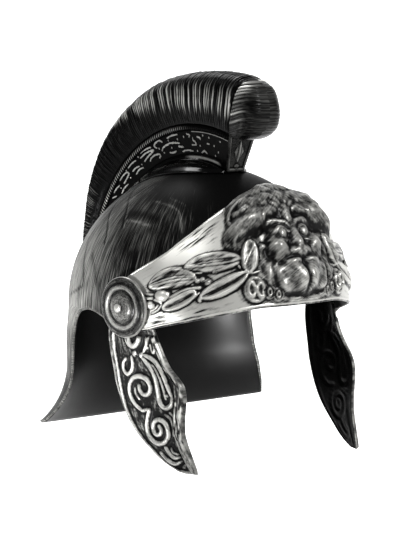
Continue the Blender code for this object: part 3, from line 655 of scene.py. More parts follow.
Line = namedtuple("Line", "places half change")
# Ridges of the shell drawn only in paint: lines that darken are painted shade beside a ridge, lines that lighten are
# its painted highlight.
PAINTED_RIDGE_LINES = [
    Line([(131.2, 0.293), (120.8, 0.368), (103.8, 0.483), (96.8, 0.585)], 1.0, -0.34),
    Line([(129.6, 0.300), (119.0, 0.378), (102.2, 0.490), (95.2, 0.590)], 0.8, 0.22),
    Line([(128.5, 0.330), (120.8, 0.483), (107.2, 0.610), (103.6, 0.680)], 1.0, -0.34),
    Line([(127.2, 0.340), (119.2, 0.490), (105.6, 0.616), (102.0, 0.686)], 0.8, 0.16),
    Line([(95.8, 0.552), (88.0, 0.555), (78.8, 0.568)], 0.9, 0.24),
    Line([(96.4, 0.520), (88.0, 0.512), (76.0, 0.530)], 3.4, -0.16),
    Line([(85.8, 0.425), (70.0, 0.450), (62.0, 0.493), (58.2, 0.590)], 0.9, 0.20),
    Line([(74.0, 0.400), (60.0, 0.440), (54.0, 0.520)], 0.9, 0.14),
    Line([(118.9, 0.698), (110.3, 0.863), (111.8, 0.905), (122.9, 0.953)], 1.1, -0.24),
    Line([(100.5, 0.868), (104.0, 0.800), (109.0, 0.745)], 1.6, -0.12),
]


def make_rim_bead():
    """Round bead along the ear arches and the neck guard's rim."""
    start = np.linspace(90, ARCH_START, 30)
    brow = skull_place(start, read(SKULL_BROW, start))
    arch = neck_place(np.zeros(60), np.linspace(0.004, 1, 60), 1)
    rim = neck_place(np.linspace(0.01, 1, 90), np.ones(90), 1)
    half = np.concatenate((brow, arch, rim))
    path = np.concatenate((half, (half * np.array((1, -1, 1)))[-2::-1]))
    inward = unit(path * np.array((1, 1, 0.0)))
    path = path - inward * SKULL_WALL / 2
    return sweep_tube("rim_bead", path, RIM_BEAD, 10, shell_paint, 0.26)


def sweep_tube(name, path, radius, sides, material, tone):
    """A round bead along a path."""
    along = unit(np.gradient(path, axis=0))
    up = unit(np.cross(along, np.cross(np.array((0.0, 0.0, 1.0)), along) + 1e-6))
    side = unit(np.cross(along, up))
    turns = 2 * pi * np.arange(sides) / sides
    ring = path[:, None] + radius * (
        np.cos(turns)[None, :, None] * up[:, None] + np.sin(turns)[None, :, None] * side[:, None]
    )
    length = np.concatenate(([0], np.cumsum(np.linalg.norm(np.diff(path, axis=0), axis=1))))
    brush = np.stack((length[:, None] + 0 * turns, length[:, None] * 0 + radius * turns, 0 * ring[..., 0]), -1)
    return build(
        name, ring.reshape(-1, 3), ring_faces(len(path), sides), [material], "helmet",
        np.full(ring.shape[:2], tone), brush,
    )


# Brow band relief. Angles in degrees from the front, heights and lengths in millimetres, tilts up toward the front.
Leaf = namedtuple("Leaf", "angle height long wide tilt rise bend slit roof")
GARLAND_LEAVES = [
    Leaf(57.7, 22.8, 36, 16.0, 12, 3.8, -0.35, 0.30, 0.35), Leaf(54.2, 7.0, 28, 10.5, 28, 3.4, 0.05, 0.75, 0.0),
    Leaf(40.2, 34.2, 42, 15.0, 9, 4.4, -0.12, 0.25, 0.60), Leaf(35.6, 17.6, 39, 12.5, 27, 4.2, 0.05, 0.80, 0.0),
]
OVAL = Leaf(24.0, 37.2, 25, 14.0, 80, 4.4, 0.0, 0.55, 0.0)
Ball = namedtuple("Ball", "angle height long wide rise")
BERRIES = [
    Ball(61.4, 10.0, 12.0, 10.0, 3.4), Ball(46.9, 21.0, 4.8, 4.8, 3.2), Ball(44.9, 21.7, 4.8, 4.8, 3.2),
    Ball(42.8, 20.4, 6.0, 5.6, 2.6), Ball(45.8, 8.4, 3.6, 4.4, 2.4), Ball(48.6, 18.2, 5.0, 3.4, 1.6),
]
Bar = namedtuple("Bar", "angle height long wide tilt rise")
TIES = [Bar(67.4, 10.6, 6.5, 1.9, 0, 1.8), Bar(67.4, 7.8, 6.5, 2.1, 0, 2.0), Bar(66.8, 2.8, 8.0, 5.6, 0, 2.4)]
Stroke = namedtuple("Stroke", "places half rise")
GARLAND_STROKES = [
    Stroke([(64.6, 7.0), (61.6, 4.6), (63.0, 0.2), (65.6, -2.6)], 0.9, 2.6),
    Stroke([(59.4, 7.5), (54.5, 12.6), (50.4, 15.4), (46.4, 16.4)], 1.5, 2.6),
    Stroke([(48.6, 8.8), (46.2, 12.8)], 0.9, 2.2), Stroke([(40.0, 27.6), (35.4, 29.8), (31.2, 33.0)], 1.3, 2.6),
    Stroke([(50.0, 28.0), (47.6, 26.2), (45.4, 26.6)], 0.9, 2.4), Stroke([(29.6, 33.0), (28.4, 29.0), (26.8, 25.4)], 0.8, 2.4),
    Stroke([(27.0, 25.2), (23.0, 26.2), (19.4, 27.8)], 0.8, 3.0),
]
MASK_MASS = [
    Bar(23.0, 38.8, 22, 13, 76, 4.2), Bar(22.7, 16.1, 19, 17, 0, 4.0), Bar(25.5, 56.5, 26, 14, 40, 10.0),
    Bar(20.5, 69.5, 24, 14, 24, 11.5), Bar(7.2, 52.5, 12, 8, 10, 8.5), Bar(9.5, 43.0, 15, 16, 60, 9.0),
    Bar(14.0, 27.0, 22, 9, 80, 6.0), Bar(12.5, 62.0, 20, 9, 16, 9.5), Bar(9.0, 76.0, 24, 11, 60, 10.0),
    Bar(10.8, 14.0, 14, 12, 60, 4.5), Bar(4.6, 33.5, 13, 12, 25, 9.5), Bar(0.0, 43.0, 32, 9, 90, 10.0),
    Bar(0.0, 38.5, 9, 14, 90, 11.5), Bar(0.0, 20.5, 21, 22, 0, 10.0), Bar(0.0, 65.0, 30, 14, 90, 9.5),
    Bar(0.0, 78.5, 16, 14, 90, 8.5), Bar(0.0, 44.0, 66, 46, 90, 5.0), Bar(21.0, 61.5, 26, 18, 40, 13.2),
    Bar(9.0, 70.5, 56, 27, 14, 10.3), Bar(0.0, 72.0, 40, 26, 0, 10.3),
]
Lock = namedtuple("Lock", "angle height long wide tilt rise bend strands")
MANE = [
    Lock(24.4, 53.6, 36, 15, 27, 2.6, -0.30, 0), Lock(18.6, 67.8, 22, 9, 12, 1.6, -0.30, 0),
    Lock(10.0, 71.8, 18, 7, 10, 0.9, -0.20, 1), Lock(17.4, 74.6, 36, 6, 17, 1.1, -0.20, 1),
    Lock(15.2, 62.6, 28, 8, 16, 1.1, -0.25, 1), Lock(5.0, 77.5, 22, 6, 26, 0.8, 0.0, 2),
    Lock(18.3, 31.0, 34, 9, 88, 1.6, 0.0, 0), Lock(21.0, 46.8, 15, 6, 24, 1.8, 0.0, 1),
    Lock(2.2, 71.0, 15, 5, 58, 0.8, 0.0, 1),
]
MANE_STROKES = [
    Stroke([(30.0, 41.6), (30.2, 46.8), (27.8, 50.4), (23.4, 52.2)], 1.1, 4.6),
    Stroke([(31.8, 57.4), (32.0, 61.6), (30.2, 66.0), (26.0, 69.2), (22.0, 71.0)], 1.4, 3.4),
    Stroke([(14.5, 58.4), (13.9, 62.0)], 1.0, 3.8),
    Stroke([(15.6, 33.0), (16.8, 22.0), (14.8, 12.0), (9.0, 6.4)], 1.3, 1.9),
    Stroke([(18.8, 30.0), (19.8, 20.0), (17.4, 9.6), (11.0, 4.4)], 1.3, 1.6),
    Stroke([(12.2, 10.0), (8.0, 7.0), (0.0, 6.4)], 1.2, 1.6),
]
MANE_BALLS = [
    Ball(29.2, 48.0, 15, 17, 3.2), Ball(28.6, 62.8, 5.4, 5.4, 3.2), Ball(25.6, 63.6, 4.6, 4.6, 3.0),
    Ball(23.2, 64.8, 4.2, 4.2, 2.6),
]
FACE_BALLS = [
    Ball(6.5, 21.8, 24.0, 23.5, 5.0), Ball(10.6, 39.4, 16.5, 15.5, 3.2), Ball(16.9, 43.8, 4.8, 5.6, 3.4),
    Ball(6.0, 49.8, 6.6, 7.6, 2.8), Ball(0.0, 43.6, 12.0, 6.4, 2.6), Ball(3.7, 39.2, 6.4, 6.4, 2.0),
]
NOSE = [(0.0, 64.0, 3.4, 0.8), (0.0, 57.0, 4.2, 1.4), (0.0, 50.0, 4.6, 1.8), (0.0, 45.0, 5.6, 2.2)]
FACE_STROKES = [
    Stroke([(1.2, 53.6), (3.6, 57.0), (7.5, 58.2), (11.2, 57.6), (15.8, 55.2)], 2.2, 3.6),
    Stroke([(2.2, 47.4), (3.8, 53.0), (7.0, 54.4), (10.0, 51.4)], 0.9, 2.6),
    Stroke([(3.0, 46.4), (6.4, 45.2), (9.8, 47.6)], 0.8, 2.0),
    Stroke([(1.4, 40.6), (1.6, 36.0)], 1.2, 1.8),
    Stroke([(1.0, 31.0), (3.4, 32.2), (6.4, 31.6), (9.8, 32.8)], 1.0, 3.6), Stroke([(7.6, 36.6), (10.2, 34.2)], 1.0, 2.0),
    Stroke([(16.4, 47.6), (13.2, 46.6), (11.0, 48.6)], 0.9, 1.8),
]
FACE_GROOVES = [
    Stroke([(0.0, 33.0), (0.0, 12.0)], 1.5, 4.6), Stroke([(2.6, 35.0), (5.2, 34.6), (7.8, 35.4)], 1.3, 3.0),
    Stroke([(2.6, 48.0), (2.7, 49.0)], 1.5, 2.6), Stroke([(13.4, 53.0), (15.2, 50.4), (15.0, 48.0)], 2.8, 3.2),
    Stroke([(1.7, 42.2), (1.9, 42.4)], 0.9, 1.6), Stroke([(6.0, 50.0), (6.0, 50.4)], 0.9, 1.0),
    Stroke([(13.4, 38.0), (13.8, 28.0), (13.2, 19.0), (10.8, 11.4), (4.0, 9.0), (0.0, 9.6)], 1.6, 2.8),
    Stroke([(0.6, 60.5), (1.5, 64.5), (3.8, 68.0), (7.4, 70.2)], 0.8, 1.8),
    Stroke([(2.2, 59.8), (3.6, 63.4), (6.6, 66.6), (10.4, 68.0)], 0.8, 1.8),
    Stroke([(3.8, 59.4), (6.2, 62.2), (9.6, 64.2)], 0.7, 1.4),
    Stroke([(0.4, 66.8), (2.2, 70.8), (5.8, 73.6), (10.0, 74.4)], 0.8, 1.8),
    Stroke([(19.6, 46.0), (20.2, 38.0), (19.0, 28.0)], 0.9, 1.6),
    Stroke([(0.6, 75.0), (3.2, 78.8), (7.0, 81.0)], 0.8, 1.6),
]
Ring = namedtuple("Ring", "angle height radius rise petals")
CURLS = [Ring(22.6, 14.8, 9.2, 4.2, 2), Ring(16.6, 12.6, 4.9, 3.0, 1), Ring(12.9, 10.6, 4.6, 3.0, 1)]
SMUDGES = [
    Bar(47.0, 52.0, 28, 11, 20, 0.62), Bar(51.5, 46.5, 20, 8, 20, 0.45), Bar(47.2, -1.6, 20, 9, 10, 0.80),
    Bar(64.0, -6.5, 14, 7, 10, 0.45), Bar(30.5, 66.5, 14, 9, 10, 0.45), Bar(42.0, 57.5, 12, 5, 20, 0.40),
    Bar(50.0, 11.5, 26, 16, 10, 0.30), Bar(40.0, 1.5, 24, 4, 6, 0.30), Bar(61.0, 2.0, 8, 5, 10, 0.4),
    Bar(45.0, 24.0, 14, 9, 0, 0.5), Bar(63.0, -8.5, 20, 9, 8, 0.60),
]
MASS_SHARE = 1.0
ADD_SHARE = 0.85
GROOVE_SHARE = 0.55
EDGE_BEAD = 0.45


class Surface:
    """A grid over the brow band, with the distance of every grid point from a place on it."""

    def __init__(self, angle, height):
        self.angle = angle
        self.height = height

    def local(self, angle, height):
        """Distances in millimetres toward the front and up, from a place on the band."""
        step = 0.5
        here = band_place(np.array(angle), np.array(height))
        along = np.linalg.norm(band_place(np.array(angle - step), np.array(height)) - here) / step
        upward = np.linalg.norm(band_place(np.array(angle), np.array(height + step)) - here) / step
        return (angle - self.angle) * along, (self.height - height) * upward

    def turned(self, motif):
        """Distances along and across a motif with a tilt."""
        ahead, up = self.local(motif.angle, motif.height)
        c, s = cos(radians(motif.tilt)), sin(radians(motif.tilt))
        return ahead * c + up * s, up * c - ahead * s

    def stroke(self, places):
        """Distance from a bent line through places, and the share of its length at the nearest point."""
        nearest = np.full(self.angle.shape, 1e3)
        share = np.zeros(self.angle.shape)
        count = len(places) - 1
        for i in range(count):
            middle = [(a + b) / 2 for a, b in zip(places[i], places[i + 1])]
            x, y = self.local(*middle[:2])
            start = Surface(np.array(places[i][0]), np.array(places[i][1])).local(*middle[:2])
            end = Surface(np.array(places[i + 1][0]), np.array(places[i + 1][1])).local(*middle[:2])
            reach = np.array(end) - np.array(start)
            t = ((x - start[0]) * reach[0] + (y - start[1]) * reach[1]) / max(reach @ reach, 1e-6)
            t = np.clip(t, 0, 1)
            distance = np.hypot(x - start[0] - t * reach[0], y - start[1] - t * reach[1])
            share = np.where(distance < nearest, (i + t) / count, share)
            nearest = np.minimum(nearest, distance)
        return nearest, share


def smooth_path(places, steps=4):
    """Extra places between the given ones, on a curve through them."""
    places = np.array(places, float)
    if len(places) < 3:
        return [tuple(p) for p in places]
    padded = np.concatenate((2 * places[:1] - places[1:2], places, 2 * places[-1:] - places[-2:-1]))
    path = []
    for i in range(len(places) - 1):
        before, start, end, after = padded[i:i + 4]
        for k in range(steps):
            t = k / steps
            path.append(0.5 * (
                2 * start + (end - before) * t + (2 * before - 5 * start + 4 * end - after) * t ** 2
                + (3 * start - before - 3 * end + after) * t ** 3
            ))
    path.append(places[-1])
    return [tuple(p) for p in path]


def dome(x, y, long, wide, power=0.55):
    """A rounded cushion of height one over an ellipse."""
    inside = np.clip(1 - (2 * x / long) ** 2 - (2 * y / wide) ** 2, 0, None)
    return inside ** power


def leaf_form(x, y, leaf):
    """A leaf with a raised edge, a slit or a roof-shaped fold along it, and a vein."""
    y = y - leaf.bend * (x ** 2) / leaf.long
    t = np.clip(2 * x / leaf.long, -1, 1)
    width = leaf.wide / 2 * np.clip(1 - np.abs(t) ** 2.6, 0, None) ** 0.62 + 1e-3
    across = y / width
    body = np.clip(1 - np.abs(across) ** 3.4, 0, None) ** 0.45
    inside = np.clip(1 - t ** 2, 0, None)
    edge = np.exp(-((np.abs(across) - 0.72) / 0.20) ** 2)
    slit = np.exp(-((across + 0.05) / 0.26) ** 2) * np.clip(inside * 1.4, 0, 1)
    vein = np.exp(-((across + 0.02) / 0.07) ** 2) * inside ** 0.6
    fold = np.clip(across + 0.25, -1, 1)
    roof = np.where(fold > 0, 1 - 0.55 * fold, 1 + 1.1 * fold) - 0.2 * np.exp(-((across + 0.45) / 0.12) ** 2)
    form = (1 - leaf.roof) * (0.72 + 0.30 * edge) + leaf.roof * roof - leaf.slit * 0.85 * slit + 0.16 * vein
    return leaf.rise * np.where(np.abs(2 * x / leaf.long) < 1, np.clip(body * form, 0, None), 0)


def lock_form(x, y, lock):
    """A lock of the mane: a curved cushion that tapers to its tip, with strands along it."""
    y = y - lock.bend * x ** 2 / lock.long
    t = np.clip(2 * x / lock.long, -1, 1)
    width = lock.wide / 2 * (1 - 0.25 * t) * np.clip(1 - t ** 4, 0, None) ** 0.5 + 1e-3
    across = np.clip(np.abs(y) / width, 0, 1)
    body = np.clip(1 - across ** 2.4, 0, None) ** 0.55
    form = body * (0.75 + 0.25 * np.clip(1 - t ** 2, 0, 1))
    for i in range(lock.strands):
        place = (i + 1) / (lock.strands + 1) * 2 - 1
        form -= 0.22 * np.exp(-((y / width - place) * width / 0.65) ** 2) * np.clip(1 - t ** 2, 0, 1) ** 0.5
    return lock.rise * np.where((np.abs(2 * x / lock.long) < 1) & (across < 1), np.clip(form, 0, None), 0)


def curl_form(x, y, ring):
    """A curled tuft: a raised rim round one or two petals with hollows between them."""
    radius = np.hypot(x, y * 0.94) / ring.radius
    disc = np.clip(1 - radius ** 7, 0, None) ** 0.5
    rim = np.exp(-((radius - 0.86) / 0.11) ** 2)
    form = 0.45 * disc + 0.42 * rim * disc
    for i in range(ring.petals):
        shift = (i - (ring.petals - 1) / 2) * 0.78 * ring.radius * 0.9
        petal = np.hypot((x - shift) / (0.34 * ring.radius), (y + 0.10 * shift) / (0.62 * ring.radius))
        form = np.maximum(form * (1 - 0.35 * np.exp(-((petal - 1.25) / 0.25) ** 2)), 0)
        form = form + 0.55 * np.exp(-((petal - 0.85) / 0.30) ** 2) * (radius < 1)
        form = form - 0.22 * np.exp(-(petal / 0.42) ** 2)
    return ring.rise * np.clip(form, 0, 1.15) * (radius < 1.0)


def garland_relief(surface):
    """Leaves, berries, ties and stems of the garland."""
    relief = np.zeros(surface.angle.shape)
    for leaf in GARLAND_LEAVES:
        relief = np.maximum(relief, leaf_form(*surface.turned(leaf), leaf))
    for ball in BERRIES:
        x, y = surface.local(ball.angle, ball.height)
        relief = np.maximum(relief, ball.rise * dome(x, y, ball.long, ball.wide))
    for bar in TIES:
        x, y = surface.turned(bar)
        relief = np.maximum(relief, bar.rise * dome(x, y, bar.long, bar.wide, 0.35))
    for places, half, rise in GARLAND_STROKES:
        distance, share = surface.stroke(smooth_path(places))
        relief = np.maximum(relief, wire(distance, half, rise * (0.7 + 0.3 * np.sin(pi * share))))
    return relief


def mask_relief(surface):
    """The mask: a smooth mass, with the mane, curls and face on it."""
    mass = np.zeros(surface.angle.shape)
    for bar in MASK_MASS:
        x, y = surface.turned(bar)
        mass = np.maximum(mass, bar.rise * dome(x, y, bar.long * 1.06, bar.wide * 1.12, 0.5))
    mass = MASS_SHARE * soften(mass, 45)
    add = np.zeros(surface.angle.shape)
    for lock in MANE:
        add = np.maximum(add, lock_form(*surface.turned(lock), lock))
    for ball in MANE_BALLS + FACE_BALLS:
        x, y = surface.local(ball.angle, ball.height)
        add = np.maximum(add, ball.rise * dome(x, y, ball.long, ball.wide, 0.55))
    for places, half, rise in MANE_STROKES + FACE_STROKES:
        distance, share = surface.stroke(smooth_path(places))
        taper = 0.5 + 0.5 * np.sin(pi * np.clip(share, 0, 1)) ** 0.6
        add = np.maximum(add, wire(distance, half * taper, rise * taper))
    for (angle, height, half, rise), (_, next_height, next_half, next_rise) in zip(NOSE, NOSE[1:]):
        x, y = surface.local(angle, height)
        share = np.clip((height - surface.height) / (height - next_height), 0, 1)
        wide = half + (next_half - half) * share
        tall = rise + (next_rise - rise) * share
        here = (surface.height <= height) & (surface.height >= next_height)
        add = np.maximum(add, np.where(here, wire(x, wide, tall), 0))
    for places, half, depth in FACE_GROOVES:
        distance, _ = surface.stroke(smooth_path(places))
        add = add - GROOVE_SHARE * depth * np.exp(-(distance / half) ** 2)
    relief = np.maximum(mass + ADD_SHARE * soften(add, 4), 0)
    for ring in CURLS:
        x, y = surface.local(ring.angle, ring.height)
        near = np.hypot(x, y) < ring.radius * 1.02
        relief = np.where(near, np.maximum(0.35 * mass + curl_form(x, y, ring), 0), relief)
    x, y = surface.turned(OVAL)
    oval = leaf_form(x, y, OVAL)
    stripe = np.exp(-((y + 0.35 * x - 0.6) / 0.7) ** 2) * (np.abs(y) < 4)
    inside = (x / 12.5) ** 2 + (y / 7.2) ** 2 < 1
    relief = np.where(inside, 0.45 * mass + oval + 0.9 * stripe * (oval > 0.4), relief)
    relief = relief * ease(relief, 0.15, 0.6)
    return relief, ease(relief, 0.3, 0.9)


def band_relief(surface):
    """Height of the relief over the band, how much of it belongs to the mask, and to the garland."""
    mask, ground = mask_relief(surface)
    garland = garland_relief(surface)
    return np.maximum(garland, mask), ground, ease(garland, 0.7, 1.5) * (garland > mask)


def wire(distance, half, rise):
    """A rounded ridge over a line."""
    return rise * np.clip(1 - (distance / half) ** 2, 0, None) ** 0.6


def make_band():
    """Brow band with its garland and mask in relief, silver outside and black inside."""
    columns, rows = 520, 168
    angles = np.linspace(-BAND_END, BAND_END, columns)
    low, high = read(BAND_LOW, np.abs(angles)), read(BAND_HIGH, np.abs(angles))
    heights = np.zeros((columns, rows))
    for i in range(columns):
        fine = np.linspace(low[i], high[i], 300)
        run = band_place(np.full(300, angles[i]), fine)
        length = np.concatenate(([0], np.cumsum(np.linalg.norm(np.diff(run, axis=0), axis=1))))
        heights[i] = np.interp(np.linspace(0, length[-1], rows), length, fine)
    grid_angles = np.repeat(angles[:, None], rows, 1)
    base = band_place(grid_angles, heights)
    normals = grid_normals(base, (1, 0, 0))
    surface = Surface(np.abs(grid_angles), heights)
    relief, ground, leaves = band_relief(surface)
    relief = soften(relief, 1)
    edge = np.minimum(np.arange(rows), np.arange(rows)[::-1]) * 0.6
    bead = EDGE_BEAD * np.clip(1 - ((edge - 1.0) / 1.0) ** 2, 0, None)
    fade = ease(edge, 0.0, 2.4)
    relief = np.maximum(relief * fade, bead[None, :])
    near = cavity(relief, 9, 0.34)
    wide = cavity(relief, 50, 1.3)
    # under is how steeply the relief faces downward; below it darkens those faces as painted shade.
    under = np.clip(np.gradient(soften(relief, 1), axis=1) / np.maximum(np.gradient(heights, axis=1), 0.05), 0, 1.5)
    tone = 0.90 + 0.85 * np.minimum(near, 0.12) + 0.35 * np.minimum(wide, 0.15) - 0.30 * under
    shade = np.zeros(tone.shape)
    for smudge in SMUDGES:
        x, y = surface.turned(smudge)
        shade = shade + smudge.rise * np.exp(-(2 * x / smudge.long) ** 2 - (2 * y / smudge.wide) ** 2)
    grain, strokes = mottle(tone.shape, 4, 4, 3), mottle(tone.shape, 40, 5, 8)
    # The mask's gunmetal is darkened on downward faces by under, as painted shade.
    gunmetal = 0.26 + 0.26 * near + 0.15 * wide - 0.06 * under + 0.09 * grain
    brushed = lean_rows(mottle(tone.shape, 60, 2, 12), 1.2)
    patches = lean_rows(mottle(tone.shape, 90, 16, 13), 1.2)
    tone = tone + 0.16 + 0.10 * brushed + 0.05 * grain - 0.45 * np.clip(brushed + patches - 0.75, 0, 1)
    tone = tone - shade * (0.62 + 0.75 * brushed)
    upper = ease(heights - 8.5 + 0.45 * (np.abs(grid_angles) - 58), 0, 6)
    # Leaves are darkened on downward faces by under, as painted shade.
    leaf_tone = 0.58 - 0.25 * upper + 0.75 * np.clip(near, -0.5, 0.5) + (0.16 + 0.10 * upper) * strokes
    leaf_tone = leaf_tone + 0.06 * grain - 0.16 * under
    tone = tone + (leaf_tone - tone) * leaves
    bright = np.exp(-((np.abs(grid_angles) - 23.5) / 4.5) ** 2) * (1 - ease(heights, 44, 52))
    chin = np.exp(-((np.abs(grid_angles) - 6.0) / 6.0) ** 2 - ((heights - 22) / 9.0) ** 2)
    gunmetal = gunmetal + 0.22 * bright + 0.13 * chin
    tone = tone + (gunmetal - tone) * ground
    tilt = radians(30)
    along = np.gradient(base, axis=0)
    run = np.cumsum(np.linalg.norm(along, axis=-1), axis=0)
    run = np.abs(run - run[columns // 2])
    brush = np.stack((run * cos(tilt) - heights * sin(tilt), run * sin(tilt) + heights * cos(tilt), 0 * run), -1)
    outer = base + normals * relief[..., None]
    inner = base - normals * BAND_WALL
    ring, faces, tones, brushes, slots = wrap_sheet(outer, inner, tone, 0 * tone + 0.1, brush, 12)
    return build(
        "brow_band_form", ring.reshape(-1, 3), faces, [band_paint, inner_black], "helmet", tones, brushes, slots,
        "brow_band",
    )


# Crest in detail
CREST_PLINTH_REAR = -97.0
PLINTH_FLAT = 15.0
LIP_DROP = 1.6
PLINTH_EDGE = 0.9
DENTIL_PITCH = 2.4
DENTIL_DEPTH = 0.75
HAIR_START = CREST_FRONT
BASE_RADIUS = ROPE_RADIUS + ROPE_THICK / 2 + GAP
FAN_ROOT = 3.0
HAIR_REAR_EXTRA = 2.6


def make_plinth():
    """Smooth saddle on the skull cap, under the crest."""
    stations, lanes = 110, 61
    angles = np.linspace(CREST_FRONT, CREST_PLINTH_REAR, stations)[:, None]
    share = np.linspace(-1, 1, lanes)[None, :]
    half = read(PLINTH_HALF, angles)
    left = half * np.sign(share) * np.abs(share) ** 0.8
    seat = dome_radius(angles, left) + PLINTH_SEAT
    flat = np.minimum(PLINTH_FLAT, half * 0.75)
    top = read(PLINTH_TOP, angles)
    lip = LIP_DROP * ease(np.abs(left), PLINTH_FLAT - 3.0, PLINTH_FLAT) * ease(half - PLINTH_FLAT, 0.0, 6.0)
    shoulder = ease(np.abs(left), flat, half)
    over = np.maximum(seat + PLINTH_EDGE, top - lip - (top - lip - seat - PLINTH_EDGE) * shoulder)
    over = soften(over, 1)
    over[:, 0] = seat[:, 0] + PLINTH_EDGE
    over[:, -1] = seat[:, -1] + PLINTH_EDGE
    upper = crest_place(angles + 0 * left, over, left)
    lower = crest_place(angles + 0 * left, seat, left)
    ring = np.concatenate((upper, lower[:, ::-1]), 1)
    return build(
        "crest_plinth_form", ring.reshape(-1, 3), ring_faces(stations, ring.shape[1]), [gloss_black], "helmet",
        node="crest_plinth",
    )


# Scroll strokes of the crest strip: angle ahead of the top and share of the strip's height
STRIP_STROKES = [
    Stroke([(-20.1, 0.80), (-21.4, 0.92), (-23.6, 0.90), (-24.8, 0.80), (-24.0, 0.66)], 0.60, 0.9),
    Stroke([(-16.8, 0.86), (-13.8, 0.90), (-11.1, 0.88)], 0.55, 0.9),
    Stroke([(-21.7, 0.42), (-20.6, 0.53), (-18.3, 0.58), (-15.9, 0.60), (-13.4, 0.56), (-10.9, 0.50)], 0.60, 0.9),
    Stroke([(-32.8, 0.94), (-30.5, 0.95), (-26.9, 0.86)], 0.60, 0.9),
    Stroke([(-34.1, 0.76), (-31.3, 0.77), (-28.8, 0.74), (-26.2, 0.67), (-27.6, 0.60), (-30.6, 0.55), (-33.0, 0.48)], 0.60, 0.9),
    Stroke([(-30.2, 0.30), (-29.1, 0.39), (-26.5, 0.41), (-24.1, 0.36), (-23.6, 0.25), (-24.6, 0.18)], 0.60, 0.9),
    Stroke([(-41.9, 0.92), (-40.0, 0.93), (-36.9, 0.86)], 0.55, 0.9),
    Stroke([(-11.7, 0.36), (-9.1, 0.31)], 0.60, 0.9), Stroke([(-17.7, 0.20), (-15.6, 0.15), (-13.8, 0.19)], 0.60, 0.9),
    Stroke([(-10.0, 0.12), (-6.8, 0.15), (-3.6, 0.10)], 0.55, 0.9),
    Stroke([(-3.7, 0.38), (-1.5, 0.38), (-1.7, 0.51), (-2.8, 0.57), (-2.8, 0.68)], 0.55, 0.8),
    Stroke([(-5.9, 0.85), (-4.4, 0.80), (-4.9, 0.70)], 0.50, 0.7), Stroke([(-0.4, 0.72), (1.0, 0.70), (1.5, 0.63)], 0.55, 0.7),
    Stroke([(1.7, 0.08), (3.3, 0.16), (4.8, 0.09)], 0.55, 0.9), Stroke([(5.0, 0.49), (6.4, 0.50)], 0.50, 0.6),
    Stroke([(-41.1, 0.58), (-38.9, 0.57), (-36.9, 0.50)], 0.55, 0.9),
    Stroke([(-48.5, 0.92), (-46.3, 0.92), (-43.8, 0.84), (-43.4, 0.68), (-45.6, 0.60), (-48.1, 0.58)], 0.60, 0.9),
    Stroke([(-54.3, 0.88), (-52.5, 0.87), (-50.5, 0.78)], 0.55, 0.9), Stroke([(-56.7, 0.84), (-54.9, 0.62)], 0.50, 0.8),
    Stroke([(-40.4, 0.30), (-37.8, 0.36), (-35.4, 0.28)], 0.55, 0.9), Stroke([(-52.2, 0.36), (-49.6, 0.40), (-46.9, 0.32)], 0.55, 0.9),
    Stroke([(-63.6, 0.40), (-60.8, 0.52), (-58.4, 0.42), (-59.8, 0.28)], 0.60, 0.9),
    Stroke([(-66.4, 0.84), (-63.0, 0.86), (-60.2, 0.76)], 0.55, 0.9), Stroke([(-72.8, 0.76), (-70.2, 0.86), (-68.0, 0.72)], 0.55, 0.9),
    Stroke([(-73.2, 0.34), (-70.6, 0.48), (-67.4, 0.44), (-66.6, 0.30)], 0.60, 0.9),
    Stroke([(-80.6, 0.82), (-77.8, 0.84), (-75.4, 0.70)], 0.55, 0.9), Stroke([(-82.4, 0.38), (-79.8, 0.52), (-77.2, 0.38)], 0.60, 0.9),
    Stroke([(-88.6, 0.74), (-86.2, 0.62), (-84.6, 0.72)], 0.55, 0.9), Stroke([(-3.0, 0.93), (7.0, 0.95), (17.0, 0.93)], 0.40, 0.55),
]
STRIP_DOTS = [
    (-7.8, 0.74), (-22.9, 0.58), (-21.0, 0.30), (-15.9, 0.38), (-11.5, 0.68), (-34.9, 0.90), (-35.2, 0.46), (-16.6, 0.74),
    (2.9, 0.81), (0.9, 0.35), (12.5, 0.76), (9.2, 0.49), (6.3, 0.77), (10.0, 0.10), (-1.0, 0.12), (11.7, 0.29),
    (-44.0, 0.44), (-50.7, 0.60), (-43.5, 0.94), (-57.6, 0.30), (-62.0, 0.66), (-68.8, 0.60), (-75.2, 0.50), (-84.2, 0.40),
]
STRIP_TALL = 15.5


def strip_relief(angle, climb):
    """Raised scroll strokes and dots on the crest's side strip."""
    relief = np.zeros(angle.shape)
    along, up = np.radians(angle) * ROPE_RADIUS, climb * STRIP_TALL
    for places, half, rise in STRIP_STROKES:
        path = [(radians(a) * ROPE_RADIUS, c * STRIP_TALL) for a, c in smooth_path(places)]
        distance, share = guard_distance(along, up, path)
        relief = np.maximum(relief, wire(distance, half * (1.0 + 0.35 * np.sin(pi * share)), rise))
    for a, c in STRIP_DOTS:
        distance = np.hypot(along - radians(a) * ROPE_RADIUS, up - c * STRIP_TALL)
        relief = np.maximum(relief, wire(distance, 0.80, 0.8))
    return relief


